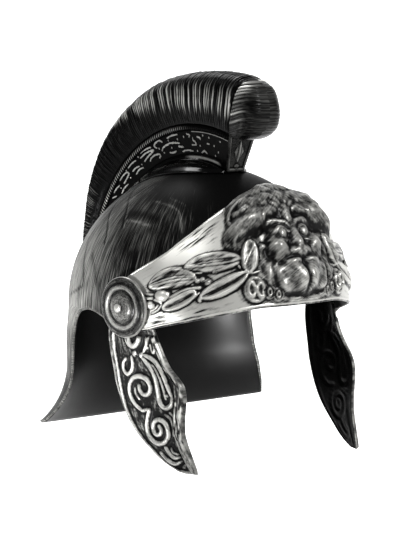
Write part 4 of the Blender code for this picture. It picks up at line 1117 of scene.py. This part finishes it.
def make_holder():
    """Crest box: foot bead, strips with scroll relief, and a rope border of small dentils."""
    stations = 620
    angles = np.linspace(CREST_FRONT, CREST_REAR, stations)
    rope_low = ROPE_RADIUS - ROPE_THICK / 2
    seat = read(PLINTH_TOP, angles) + HOLDER_SEAT
    run = np.concatenate(([0], np.cumsum(np.radians(np.abs(np.diff(angles))) * ROPE_RADIUS)))
    foot = [(0.0, 0.0), (0.15, 0.9), (0.9, 1.0), (1.9, 1.0), (2.6, 0.9), (2.8, 0.0)]
    shelf = np.linspace(0, 1, 32)
    rope_turns = np.linspace(-0.5, 0.5, 13) * pi
    radius, half, tone, brush = [], [], [], []
    for rise, out in foot:
        radius.append(seat + rise)
        half.append(FOOT_HALF - 0.8 + 0.8 * out + 0 * seat)
        # The top of the foot bead near the front carries a painted highlight line.
        tone.append((0.50 if out > 0.95 else 0.1) * ease(angles, -10, -4) * (1 - ease(angles, 12, 16)) + 0.03)
        brush.append(rise)
    low = seat + 3.8
    sides = []
    for side in (-1, 1):
        sides.append(strip_relief(angles[:, None] + 0 * shelf, shelf[None, :] + 0 * angles[:, None]))
    strip_start = len(radius)
    for k, share in enumerate(shelf):
        radius.append(low + (rope_low - low) * share)
        half.append(STRIP_LOW_HALF + (STRIP_HALF - STRIP_LOW_HALF) * share + 0 * seat)
        tone.append(np.full(stations, -0.02))
        brush.append(4 + 14 * share)
    # Silver on the dentil tops, dimmed toward the front and to one side by lit, which is painted light.
    lit = 1 - 0.75 * ease(angles, -14, 2)
    for turn in rope_turns:
        dentil = np.abs(np.sin(pi * (run + 0.8 * turn) / DENTIL_PITCH)) ** 0.8
        radius.append(ROPE_RADIUS + ROPE_THICK / 2 * np.sin(turn) + 0 * seat)
        reach = STRIP_HALF + (ROPE_HALF - STRIP_HALF) * max(0.0, cos(turn)) ** 0.7
        bite = (1 - dentil) * DENTIL_DEPTH * cos(turn)
        half.append(reach - bite)
        tone.append(0.9 * lit * dentil ** 7 * max(0.0, cos(turn + 0.20)) ** 2 - 0.12)
        brush.append(20 + 2 * turn)
    radius, half, tone = np.array(radius).T, np.array(half).T, np.array(tone).T
    brush = np.array(brush)
    rings, tones, brushes = [], [], []
    for side, relief in zip((-1, 1), sides):
        width = half.copy()
        paint = tone.copy()
        strip = slice(strip_start, strip_start + len(shelf))
        edge = (ease(shelf, 0.0, 0.08) * (1 - ease(shelf, 0.92, 1.0)))[None, :]
        width[:, strip] += 0.75 * relief * edge
        paint[:, strip] += 0.62 * ease(relief * edge, 0.16, 0.50)
        rings.append(crest_place(angles[:, None] + 0 * radius, radius, side * width))
        tones.append(paint)
        brushes.append(np.stack((run[:, None] + 0 * radius, brush[None, :] + 0 * radius, 0 * radius), -1))
    ring = np.concatenate((rings[0], rings[1][:, ::-1]), 1)
    tones = np.concatenate((tones[0], tones[1][:, ::-1]), 1)
    brushes = np.concatenate((brushes[0], brushes[1][:, ::-1]), 1)
    return build(
        "crest_holder_form", ring.reshape(-1, 3), ring_faces(stations, ring.shape[1]), [crest_paint], "helmet",
        tones, brushes, node="crest_holder",
    )


PLATE_FRONT = 0.9


def make_front_plate():
    """Plate on the crest box's front end, with a raised frame and a tall leaf."""
    across, up = 61, 81
    seat = float(read(PLINTH_TOP, CREST_FRONT)) + HOLDER_SEAT
    top = ROPE_RADIUS + ROPE_THICK / 2
    share = np.linspace(-1, 1, across)[:, None]
    level = np.linspace(0, 1, up)[None, :]
    half = STRIP_LOW_HALF + (STRIP_HALF + 1.6 - STRIP_LOW_HALF) * level
    left = share * half
    radius = seat + 0.4 + (top - seat - 0.4) * level + 0 * share
    height = (top - seat) * level + 0 * share
    border = np.maximum(np.abs(share) * half - (half - 1.5), np.maximum(height - (top - seat - 1.8), 1.5 - height))
    frame_form = ease(border, -0.5, 0.3)
    leaf_centre = 0.52 * (top - seat)
    y = height - leaf_centre
    leaf = np.clip(1 - np.abs(left / 4.6) - np.abs(y / 8.6), 0, None) ** 0.5
    hollow = np.exp(-((np.abs(left) - 1.5) / 0.8) ** 2) * (leaf > 0.15)
    vein = np.exp(-(left / 0.5) ** 2) * (leaf > 0.1)
    knot = np.clip(1 - np.hypot(left / 2.3, (height - 3.2) / 1.9) ** 2, 0, None) ** 0.5
    relief = 0.9 * frame_form + 1.3 * leaf - 0.6 * hollow + 0.3 * vein + 0.9 * knot
    relief = soften(np.clip(relief, 0, None), 1)
    angle = CREST_FRONT + 0.12 + 0 * radius
    base = crest_place(angle, radius, left)
    turn = radians(CREST_FRONT)
    ahead = np.array((cos(turn), 0.0, -sin(turn)))
    front = base + ahead * (PLATE_FRONT + relief[..., None])
    back = base + ahead * -1.2
    tone = 0.18 + 0.34 * cavity(relief, 6, 0.35) + 0.14 * (leaf > 0.1)
    brush = np.stack((left, height, 0 * left), -1)
    ring, faces, tones, brushes, slots = wrap_sheet(front, back, tone, 0 * tone, brush, 8)
    return build(
        "crest_front_plate", ring.reshape(-1, 3), faces, [crest_paint, gloss_black], "helmet", tones, brushes, slots,
    )


def strand_profile(run, seed, low, high):
    """Strand heights along a run: rounded strands of seeded widths, with their place along the run."""
    pick = np.random.default_rng(seed)
    edges = [run.min() - 1]
    while edges[-1] < run.max() + 3:
        edges.append(edges[-1] + pick.uniform(low, high))
    edges = np.array(edges)
    place = np.clip(np.searchsorted(edges, run, side="right") - 1, 0, len(edges) - 2)
    within = (run - edges[place]) / (edges[place + 1] - edges[place])
    tall = pick.uniform(0.45, 1.0, len(edges))[place]
    bright = pick.uniform(0.0, 1.0, len(edges))[place]
    return np.sin(pi * within) ** 0.7, tall, bright


def make_plume():
    """Plume in one form: combed strands in locks from the rear to the bulb in front."""
    arc, fan = 640, 190
    ring_steps = 52
    arc_angles = np.linspace(-97, CREST_FRONT, arc, endpoint=False)
    fan_angles = np.linspace(CREST_FRONT, 98, fan)
    angles = np.concatenate((arc_angles, fan_angles))
    pivot = crest_place(CREST_FRONT, BASE_RADIUS - FAN_ROOT, 0.0)
    arc_base = crest_place(arc_angles, BASE_RADIUS, 0.0)
    turn = np.radians(fan_angles)
    fan_base = pivot + FAN_ROOT * np.stack((np.sin(turn), 0 * turn, np.cos(turn)), -1)
    base = np.concatenate((arc_base, fan_base))
    length = read(HAIR_LENGTH, angles) + 1.0 + HAIR_REAR_EXTRA * ease(angles, -95, -80) * (1 - ease(angles, -20, 5))
    half = read(HAIR_HALF, angles)
    run = np.concatenate((
        np.radians(arc_angles - arc_angles[0]) * (BASE_RADIUS + 18),
        np.radians(CREST_FRONT - arc_angles[0]) * (BASE_RADIUS + 18) + np.radians(fan_angles - CREST_FRONT) * 36,
    ))
    share = np.linspace(0, 6, ring_steps + 1)
    reach = read(HAIR_REACH, share)
    wide = read(HAIR_WIDTH, share)
    reach_grid = reach[None, :]
    sides, tones, brushes = [], [], []
    bend = np.radians(angles)
    outward = np.stack((np.sin(bend), 0 * bend, np.cos(bend)), -1)
    pitch = 1 + 0.5 * ease(angles, -38, -12)
    paced = np.concatenate(([0], np.cumsum(np.diff(run) / pitch[1:])))
    bulb = ease(angles, CREST_FRONT + 0.5, CREST_FRONT + 5)[:, None]
    crease = np.exp(-((run - run[arc]) / 1.7) ** 2)[:, None]
    # lit_at, lit_wide and lit_power place a painted highlight band across the strand ridges; tail sets the fainter
    # silver below it.
    lit_at = (0.52 + 0.14 * ease(-angles, 0, 20) + 0.26 * ease(-angles, 18, 48))[:, None]
    lit_wide = (0.24 - 0.16 * ease(-angles, 0, 50))[:, None]
    lit_power = (1.0 - 0.50 * ease(-angles, 22, 60))[:, None]
    tail = (0.26 - 0.18 * ease(-angles, 16, 38) + 0.38 * ease(-angles, 48, 66))[:, None]
    for side in (-1, 1):
        lean = 0.7 * np.sin(paced / 17.0 + side) + 0.5 * np.sin(paced / 7.3 + 2 * side)
        wave = paced[:, None] + lean[:, None] * reach_grid ** 1.5 + 0.18 * np.sin(reach_grid * 9 + paced[:, None] / 4)
        straight = base[:, None] + outward[:, None] * (length[:, None] * reach_grid)[..., None]
        ahead = straight[..., 0] - pivot[0]
        combed = (straight[..., 2] - 0.30 * ahead + 0.006 * ahead ** 2) / 1.7 + 0.35 * np.sin(ahead / 5)
        wave = wave + (combed - wave) * (bulb > 0.5)
        strand, tall, bright = strand_profile(wave, 5 + side, 0.95, 2.1)
        clump, _, clump_bright = strand_profile(wave + 0.8 * reach_grid, 21 + side, 4.0, 9.0)
        fine, _, _ = strand_profile(wave, 77 + side, 0.45, 0.8)
        depth = (1 - strand * tall) * 0.75 + (1 - clump ** 0.5) * 0.2 + (1 - fine) * 0.15
        cut = ease(reach_grid, 0.0, 0.35) * (1 - 0.9 * ease(reach_grid, 0.72, 0.94))
        depth = depth * (1 - 0.35 * bulb) + 3.6 * crease * cut
        depth = depth * ease(reach_grid, 0.0, 0.10)
        over = np.clip(length[:, None] * reach_grid - depth * ease(reach_grid, 0.75, 1.0), 0, None)
        across = np.clip(wide[None, :] * half[:, None] - depth * (1 - 0.5 * ease(share, 4.5, 6.0)[None, :]), 0, None)
        across[:, -1] = 0
        point = base[:, None] + outward[:, None] * over[..., None]
        point[..., 1] = side * across
        ridge = ease(strand * tall, 0.45, 0.92)
        lit = np.exp(-((reach_grid - lit_at) / lit_wide) ** 2) * lit_power
        low = tail * ease(reach_grid, 0.06, 0.40) * (reach_grid < lit_at)
        crown = 0.16 * ease(reach_grid, 0.90, 0.97)
        # Silver on the strand ridges, strongest in the painted highlight band (lit).
        tone = -0.02 + ridge * ((1.35 * lit + low) * (0.60 + 0.40 * bright) * (0.85 + 0.15 * clump) + crown * bright)
        # On the bulb, lit_bulb is a painted highlight on the strands near the crease, edge_bulb lightens the strands at
        # its front edge, and the crease is darkened as painted shade.
        lit_bulb = ease(ahead, 1.5, 5.0) * (1 - ease(ahead, 13, 27)) * ease(straight[..., 2], 122, 134)
        edge_bulb = 0.10 * ease(ahead, 27, 33)
        tone_bulb = 0.12 + ridge * (1.5 * lit_bulb * (0.3 + 0.7 * bright) * (0.3 + 0.7 * clump) + edge_bulb)
        tone = tone + (tone_bulb - tone) * bulb - 0.5 * crease * cut
        sides.append(point)
        tones.append(tone)
        brushes.append(np.stack((wave, 30 * reach_grid + 0 * wave, 0 * wave), -1))
    ring = np.concatenate((sides[0], sides[1][:, -2::-1]), 1)
    tones = np.concatenate((tones[0], tones[1][:, -2::-1]), 1)
    brushes = np.concatenate((brushes[0], brushes[1][:, -2::-1]), 1)
    return build(
        "plume_form", ring.reshape(-1, 3), ring_faces(len(angles), ring.shape[1]), [hair_paint], "helmet",
        tones, brushes, node="crest_brush",
    )


# Cheek guard relief, in millimetres ahead of and under the rivet
GUARD_STROKES = [
    Stroke([(0.0, 20.5), (1.2, 26.0), (4.6, 28.4), (9.0, 25.6), (10.4, 20.6), (9.6, 15.0)], 2.0, 2.6),
    Stroke([(-2.6, 19.6), (-2.0, 24.4), (0.4, 28.8)], 1.2, 1.8),
    Stroke([(15.4, 12.0), (17.0, 19.0), (17.2, 26.0), (14.6, 32.0)], 1.5, 2.4),
    Stroke([(20.4, 14.0), (22.0, 22.0), (24.0, 29.5), (22.6, 31.4), (20.0, 26.0)], 1.2, 2.0),
    Stroke([(13.0, 34.5), (17.0, 38.4), (21.3, 42.2), (24.6, 46.6), (27.0, 53.2), (28.4, 60.4), (29.0, 65.0),
            (31.6, 69.2), (35.6, 70.4), (39.8, 67.4), (40.2, 63.0)], 1.9, 2.8),
    Stroke([(14.0, 33.6), (20.8, 35.4), (26.2, 38.6), (31.2, 44.0), (34.4, 50.2), (37.0, 56.0), (39.8, 61.4)], 1.7, 2.6),
    Stroke([(22.0, 40.4), (27.4, 45.2), (31.0, 52.0), (33.4, 59.0), (34.6, 64.0)], 1.2, 1.9),
    Stroke([(13.6, 74.6), (7.5, 71.4), (2.6, 66.0), (0.9, 59.0), (3.2, 53.0), (8.0, 50.2), (13.6, 49.8), (18.8, 52.0),
            (21.4, 57.0), (19.4, 61.6), (14.8, 62.6), (11.4, 60.2), (10.0, 56.6)], 1.8, 2.9),
    Stroke([(9.6, 66.6), (6.4, 62.6), (5.8, 58.6)], 0.9, 1.4),
    Stroke([(13.6, 74.6), (19.4, 73.4), (18.4, 78.0), (17.4, 84.0), (18.4, 90.0), (22.4, 95.0), (28.2, 97.2), (33.4, 95.6),
            (36.6, 91.0), (36.2, 85.0), (33.0, 80.8), (28.2, 79.6), (24.2, 82.0), (23.4, 86.4), (25.6, 90.4),
            (29.4, 90.2), (30.4, 87.0), (28.4, 84.2)], 1.8, 2.8),
    Stroke([(3.0, 36.4), (4.4, 41.0), (3.2, 46.2), (-0.6, 49.2), (-4.4, 46.4), (-4.9, 41.4), (-2.8, 38.4)], 1.6, 2.5),
    Stroke([(33.6, 99.0), (37.4, 103.0), (42.0, 106.0), (45.6, 105.6)], 1.6, 2.4),
    Stroke([(29.4, 103.6), (35.6, 108.2), (42.0, 110.6), (47.0, 108.4)], 1.5, 2.2),
    Stroke([(38.6, 99.4), (41.2, 102.6), (45.0, 103.6)], 1.0, 1.8),
    Stroke([(34.0, 75.6), (39.0, 78.4), (41.0, 84.0), (41.0, 90.0)], 1.3, 1.7),
    Stroke([(37.6, 73.8), (42.0, 77.0), (43.6, 84.0)], 1.0, 1.5),
]
GUARD_BEADS = [(13.2, 34.2, 2.6, 2.8), (18.0, 28.4, 1.6, 1.8), (5.6, 33.6, 2.6, 1.4), (35.4, 61.8, 1.8, 1.4), (49.6, 112.0, 2.2, 1.2)]
REAR_RIDGE = [Row(0, 5.6), Row(30, 5.6), Row(55, 5.2), Row(75, 3.4), Row(95, 3.0), Row(117, 2.6)]
FRONT_BORDER = [Row(0, 3.0), Row(20, 3.6), Row(36, 4.2), Row(50, 6.5), Row(60, 8.0), Row(80, 8.2), Row(100, 7.0), Row(117, 4.0)]


def guard_distance(ahead, down, places):
    """Distance from a bent line, and the share of its length at the nearest point."""
    nearest = np.full(ahead.shape, 1e3)
    share = np.zeros(ahead.shape)
    count = len(places) - 1
    for i in range(count):
        start, end = np.array(places[i]), np.array(places[i + 1])
        reach = end - start
        t = ((ahead - start[0]) * reach[0] + (down - start[1]) * reach[1]) / max(reach @ reach, 1e-6)
        t = np.clip(t, 0, 1)
        distance = np.hypot(ahead - start[0] - t * reach[0], down - start[1] - t * reach[1])
        share = np.where(distance < nearest, (i + t) / count, share)
        nearest = np.minimum(nearest, distance)
    return nearest, share


def guard_relief(ahead, down, across, width):
    """Relief of a cheek guard: both borders, scrolls, strands and beads."""
    relief = np.zeros(ahead.shape)
    for places, half, rise in GUARD_STROKES:
        distance, share = guard_distance(ahead, down, smooth_path(places))
        taper = 0.70 + 0.30 * np.sin(pi * share) ** 0.5
        relief = np.maximum(relief, wire(distance, 1.22 * half * taper, rise * taper))
    for place_ahead, place_down, half, rise in GUARD_BEADS:
        relief = np.maximum(relief, wire(np.hypot(ahead - place_ahead, down - place_down), half, rise))
    from_rear, from_front = across * width, (1 - across) * width
    ridge_place = read(REAR_RIDGE, down)
    inner_edge = read(FRONT_BORDER, down)
    start = ease(down, 15, 21)
    bevel = 1.1 * np.clip(from_rear / ridge_place, 0, 1) * (from_rear < ridge_place + 0.6)
    rear_ridge = np.maximum(wire(from_rear - ridge_place, 1.5, 2.1), bevel)
    inside = 1 - ease(from_front, inner_edge - 1.0, inner_edge)
    swell = 1.5 + 0.5 * np.sin(pi * np.clip(from_front / inner_edge, 0, 1))
    line = 0.7 * np.exp(-((from_front - inner_edge * 0.62) / 0.7) ** 2) * ease(down, 34, 46) * (1 - ease(down, 74, 88))
    front_ridge = inside * (swell - line)
    plate_end = wire(117 - down - 1.4, 1.5, 1.8)
    border = np.maximum(np.maximum(rear_ridge, front_ridge), plate_end)
    return np.maximum(relief * ease(down, 12, 17), border * start)


def make_guard(side):
    """Cheek guard: one bent plate with raised borders and scrolls, black inside."""
    rows, columns = 320, 144
    low = np.linspace(-11.8, 0, 24, endpoint=False)
    down = np.concatenate((low, np.linspace(0, 117, rows - 24)))
    disc = np.sqrt(np.clip(GUARD_DISC ** 2 - down ** 2, 0.5, None))
    rear = np.where(down < 0, disc, read(GUARD_REAR, down))
    front = np.where(down < 0, disc, read(GUARD_FRONT, down))
    across = np.linspace(0, 1, columns)[None, :]
    width = (rear + front)[:, None]
    ahead = -rear[:, None] + width * across
    depth = down[:, None] + 0 * ahead
    relief = guard_relief(ahead, depth, across, width)
    relief = soften(relief, 1)
    edge = np.minimum(across, 1 - across) * width
    end = (117 - depth)
    relief = relief * ease(np.minimum(edge, end), 0.0, 0.9)
    relief = relief * (1 - (1 - ease(depth, 19.4, 22.4)) * ease(ahead, 3, 8))
    hidden = 1 - ease(np.hypot(ahead, depth), 15, 18)
    outer = guard_place(ahead, depth, relief)
    inner = guard_place(ahead, depth, -GUARD_WALL + 0.25 * soften(relief, 3))
    near = cavity(relief, 5, 0.35)
    wide = cavity(relief, 40, 0.9)
    rough, streak = mottle(ahead.shape, 4, 4, 5), mottle(ahead.shape, 26, 3, 6)
    tone = 0.15 + 0.32 * ease(relief, 0.8, 2.2) + 0.62 * np.clip(near, -0.6, 0.4) + 0.30 * np.clip(wide, -1, 0.3)
    tone = tone + 0.12 * rough + 0.16 * streak - 0.3 * hidden
    inward = (1 - across) * width
    border = (1 - ease(inward, read(FRONT_BORDER, depth) - 1, read(FRONT_BORDER, depth))) * ease(depth, 18, 30)
    tone = tone - border * (0.16 - 0.28 * streak) * (1 - ease(depth, 92, 100))
    bevel = (1 - ease(across * width, read(REAR_RIDGE, depth) - 2.0, read(REAR_RIDGE, depth) - 1.0)) * ease(depth, 10, 20)
    tone = tone + (0.18 + 0.14 * rough + 0.12 * streak - tone) * bevel
    shine = (1 - ease(edge, 0.7, 1.1)) * ease(depth, 18, 26)
    tone = tone + (np.maximum(tone, 0.40 + 0.20 * streak) - tone) * shine
    brush = np.stack((ahead, depth, 0 * ahead), -1)
    sign = np.array((1, side, 1))
    ring, faces, tones, brushes, slots = wrap_sheet(outer, inner, tone, 0 * tone + 0.05, brush, 6)
    name = "left" if side > 0 else "right"
    return build(
        f"cheek_guard_{name}_form", (ring * sign).reshape(-1, 3), faces, [guard_paint, guard_black],
        f"cheek_{name}", tones, brushes, slots, f"cheek_guard_{name}",
    )


Turn = namedtuple("Turn", "radius out tone")
BOSS = [
    Turn(2.3, 6.9, 0.1), Turn(4.4, 6.6, 0.26), Turn(9.0, 5.6, 0.30), Turn(12.6, 2.9, 0.02), Turn(14.0, 4.5, 0.50),
    Turn(15.4, 4.7, 0.42), Turn(16.6, 4.0, 0.16), Turn(17.6, 3.3, 0.02), Turn(20.2, 3.4, 0.24), Turn(21.2, 2.8, 0.08),
    Turn(22.2, 1.8, 0.70), Turn(22.2, -0.4, 0.2), Turn(19.6, -0.4, 0.1), Turn(17.4, 1.4, 0.1), Turn(10.0, 1.6, 0.1),
    Turn(7.0, 3.8, 0.1), Turn(2.3, 3.8, 0.1),
]
RIVET_OUTER = [
    Turn(0.0, 9.4, 0.8), Turn(1.2, 9.25, 0.8), Turn(2.0, 9.0, 0.7), Turn(2.8, 8.6, 0.6), Turn(3.2, 8.2, 0.4),
    Turn(3.6, 7.2, 0.2), Turn(2.0, 7.2, 0.1), Turn(2.0, -10.6, 0.1), Turn(5.0, -10.6, 0.1), Turn(4.6, -11.7, 0.2),
    Turn(0.0, -11.9, 0.2),
]


def round_corners(profile, steps=6):
    """Profile points with rounded corners between them, by cutting each corner twice."""
    places = np.array(profile, float)
    for _ in range(2):
        cut = [places[0]]
        for start, end in zip(places[:-1], places[1:]):
            length = np.linalg.norm((end - start)[:2])
            trim = min(0.25, 0.9 / max(length, 1e-6))
            cut += [start + (end - start) * trim, start + (end - start) * (1 - trim)]
        cut.append(places[-1])
        places = np.array(cut)
    return places


def make_turned(name, profile, side, node, closed):
    """A turned piece round a rivet's axis."""
    steps = 96
    places = round_corners(profile)
    ahead, down, out = rivet_axes()
    turns = 2 * pi * np.arange(steps) / steps
    ring = (
        np.array(RIVET)
        + places[None, :, 0, None] * (
            np.cos(turns)[:, None, None] * ahead + np.sin(turns)[:, None, None] * down
        )
        + places[None, :, 1, None] * out
    ) * np.array((1, side, 1))
    count = len(places)
    i = np.arange(steps)[:, None]
    last = count if closed else count - 1
    k = np.arange(last)[None, :]
    after_ring, after = (i + 1) % steps, (k + 1) % count
    faces = np.stack(
        (i * count + k, i * count + after, after_ring * count + after, after_ring * count + k), -1,
    ).reshape(-1, 4).tolist()
    brush = np.stack((
        np.abs(turns - pi)[:, None] * 12 + 0 * places[None, :, 0], places[None, :, 0] + 0 * turns[:, None],
        places[None, :, 1] + 0 * turns[:, None],
    ), -1)
    tone = places[None, :, 2] + 0 * turns[:, None]
    label = "left" if side > 0 else "right"
    piece = build(
        f"{name}_{label}_form", ring.reshape(-1, 3), faces, [boss_paint], "helmet", tone, brush,
        node=f"{node}_{label}",
    )
    work = bmesh.new()
    work.from_mesh(piece.data)
    bmesh.ops.remove_doubles(work, verts=work.verts, dist=1e-6)
    bmesh.ops.recalc_face_normals(work, faces=work.faces)
    work.to_mesh(piece.data)
    work.free()
    return piece


# Stage, light and camera. The camera looks down the front left quarter from a little above.
CAMERA_AROUND = radians(40)
CAMERA_UP = radians(6.8)
CAMERA_DISTANCE = 1900.0
CAMERA_CENTRE_UP = 10.0
CAMERA_LENS = 162.45
FLOOR_DROP = 150.0
STAGE_GLOW = 0.85
FRONT_GLOW = 0.0
WORLD_LIGHT = 0.07


def frame_place(forward, left, height):
    """One place in the part's frame, as a vector in metres."""
    return Vector(to_frame(np.array((forward, left, height))))


def make_stage(lowest):
    """Pale floor that curves up into the backdrop behind the helmet."""
    toward = Vector((-sin(CAMERA_AROUND), -cos(CAMERA_AROUND), 0.0))
    across = Vector((-toward.y, toward.x, 0.0))
    profile = [(3.0, 0.0), (-1.6, 0.0)]
    profile += [(-1.6 - 0.8 * sin(t), 0.8 - 0.8 * cos(t)) for t in np.linspace(0.1, pi / 2, 14)]
    profile.append((-2.4, 3.4))
    points = []
    for out, up in profile:
        for wide in (-3.2, 3.2):
            points.append(toward * out + across * wide + Vector((0, 0, lowest + up)))
    faces = [(2 * i, 2 * i + 1, 2 * i + 3, 2 * i + 2) for i in range(len(profile) - 1)]
    mesh = bpy.data.meshes.new("stage")
    mesh.from_pydata(points, [], faces)
    mesh.shade_smooth()
    material, nodes, links, shader = node_tree("stage_paper")
    spot = nodes.new("ShaderNodeTexCoord")
    ahead = nodes.new("ShaderNodeVectorMath")
    ahead.operation = "DOT_PRODUCT"
    ahead.inputs[1].default_value = toward
    links.new(spot.outputs["Object"], ahead.inputs[0])
    glow = ramp(nodes, links, ahead.outputs["Value"], -0.5, 0.3, STAGE_GLOW, FRONT_GLOW)
    links.new(glow, shader.inputs["Emission Strength"])
    shader.inputs["Base Color"].default_value = (0.93, 0.93, 0.93, 1.0)
    shader.inputs["Roughness"].default_value = 0.9
    shader.inputs["Emission Color"].default_value = (1.0, 1.0, 1.0, 1.0)
    mesh.materials.append(material)
    floor = bpy.data.objects.new("stage", mesh)
    bpy.context.scene.collection.objects.link(floor)


def aim(piece, place, target):
    """Set a lamp or camera at a place and turn it to a target."""
    back = (place - target).normalized()
    side = Vector((0, 0, 1)).cross(back).normalized()
    turn = Matrix((side, back.cross(side), back)).transposed()
    piece.matrix_world = Matrix.Translation(place) @ turn.to_4x4()


def add_light(name, place, target, size, power, spread=180):
    """A soft square lamp, shaded to a spread in degrees."""
    lamp = bpy.data.lights.new(name, "AREA")
    lamp.shape = "RECTANGLE"
    lamp.size, lamp.size_y = size
    lamp.energy = power
    lamp.spread = radians(spread)
    piece = bpy.data.objects.new(name, lamp)
    piece.visible_camera = False
    bpy.context.scene.collection.objects.link(piece)
    aim(piece, Vector(place), Vector(target))


def main():
    """Build every piece, then the stage, lamps and camera."""
    skull = make_skull()
    make_rim_bead()
    make_plinth()
    make_holder()
    make_front_plate()
    make_plume()
    make_band()
    for side in (1, -1):
        make_guard(side)
        make_turned("boss", BOSS, side, "boss", True)
        make_turned("rivet", RIVET_OUTER, side, "rivet", False)
    make_stage(cad_low[2] - FLOOR_DROP * 0.001)
    scene = bpy.context.scene
    scene.view_settings.view_transform = "Standard"
    world = bpy.data.worlds.new("studio")
    world.use_nodes = True
    world.node_tree.nodes["Background"].inputs["Color"].default_value = (1, 1, 1, 1)
    world.node_tree.nodes["Background"].inputs["Strength"].default_value = WORLD_LIGHT
    scene.world = world
    target = (0, 0, -0.05)
    add_light("key", (0.15, -1.6, 1.2), target, (0.5, 0.5), 32)
    add_light("side", (-1.2, -0.4, 1.5), target, (0.5, 0.8), 10)
    add_light("top", (0.25, 1.0, 1.4), target, (0.7, 0.5), 14)
    add_light("low", (-0.38, -0.04, -0.30), (0.08, 0.067, -0.144), (0.14, 0.24), 0.38, 16)
    lens = bpy.data.cameras.new("camera")
    lens.lens = CAMERA_LENS
    camera = bpy.data.objects.new("camera", lens)
    scene.collection.objects.link(camera)
    c40, s40, c6, s6 = cos(CAMERA_AROUND), sin(CAMERA_AROUND), cos(CAMERA_UP), sin(CAMERA_UP)
    toward = np.array((c40 * c6, -s40 * c6, s6))
    up = np.array((-c40 * s6, s40 * s6, c6))
    middle = CAMERA_CENTRE_UP * up
    aim(camera, frame_place(*(middle + CAMERA_DISTANCE * toward)), frame_place(*middle))
    scene.camera = camera
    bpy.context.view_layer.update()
    return skull


main()
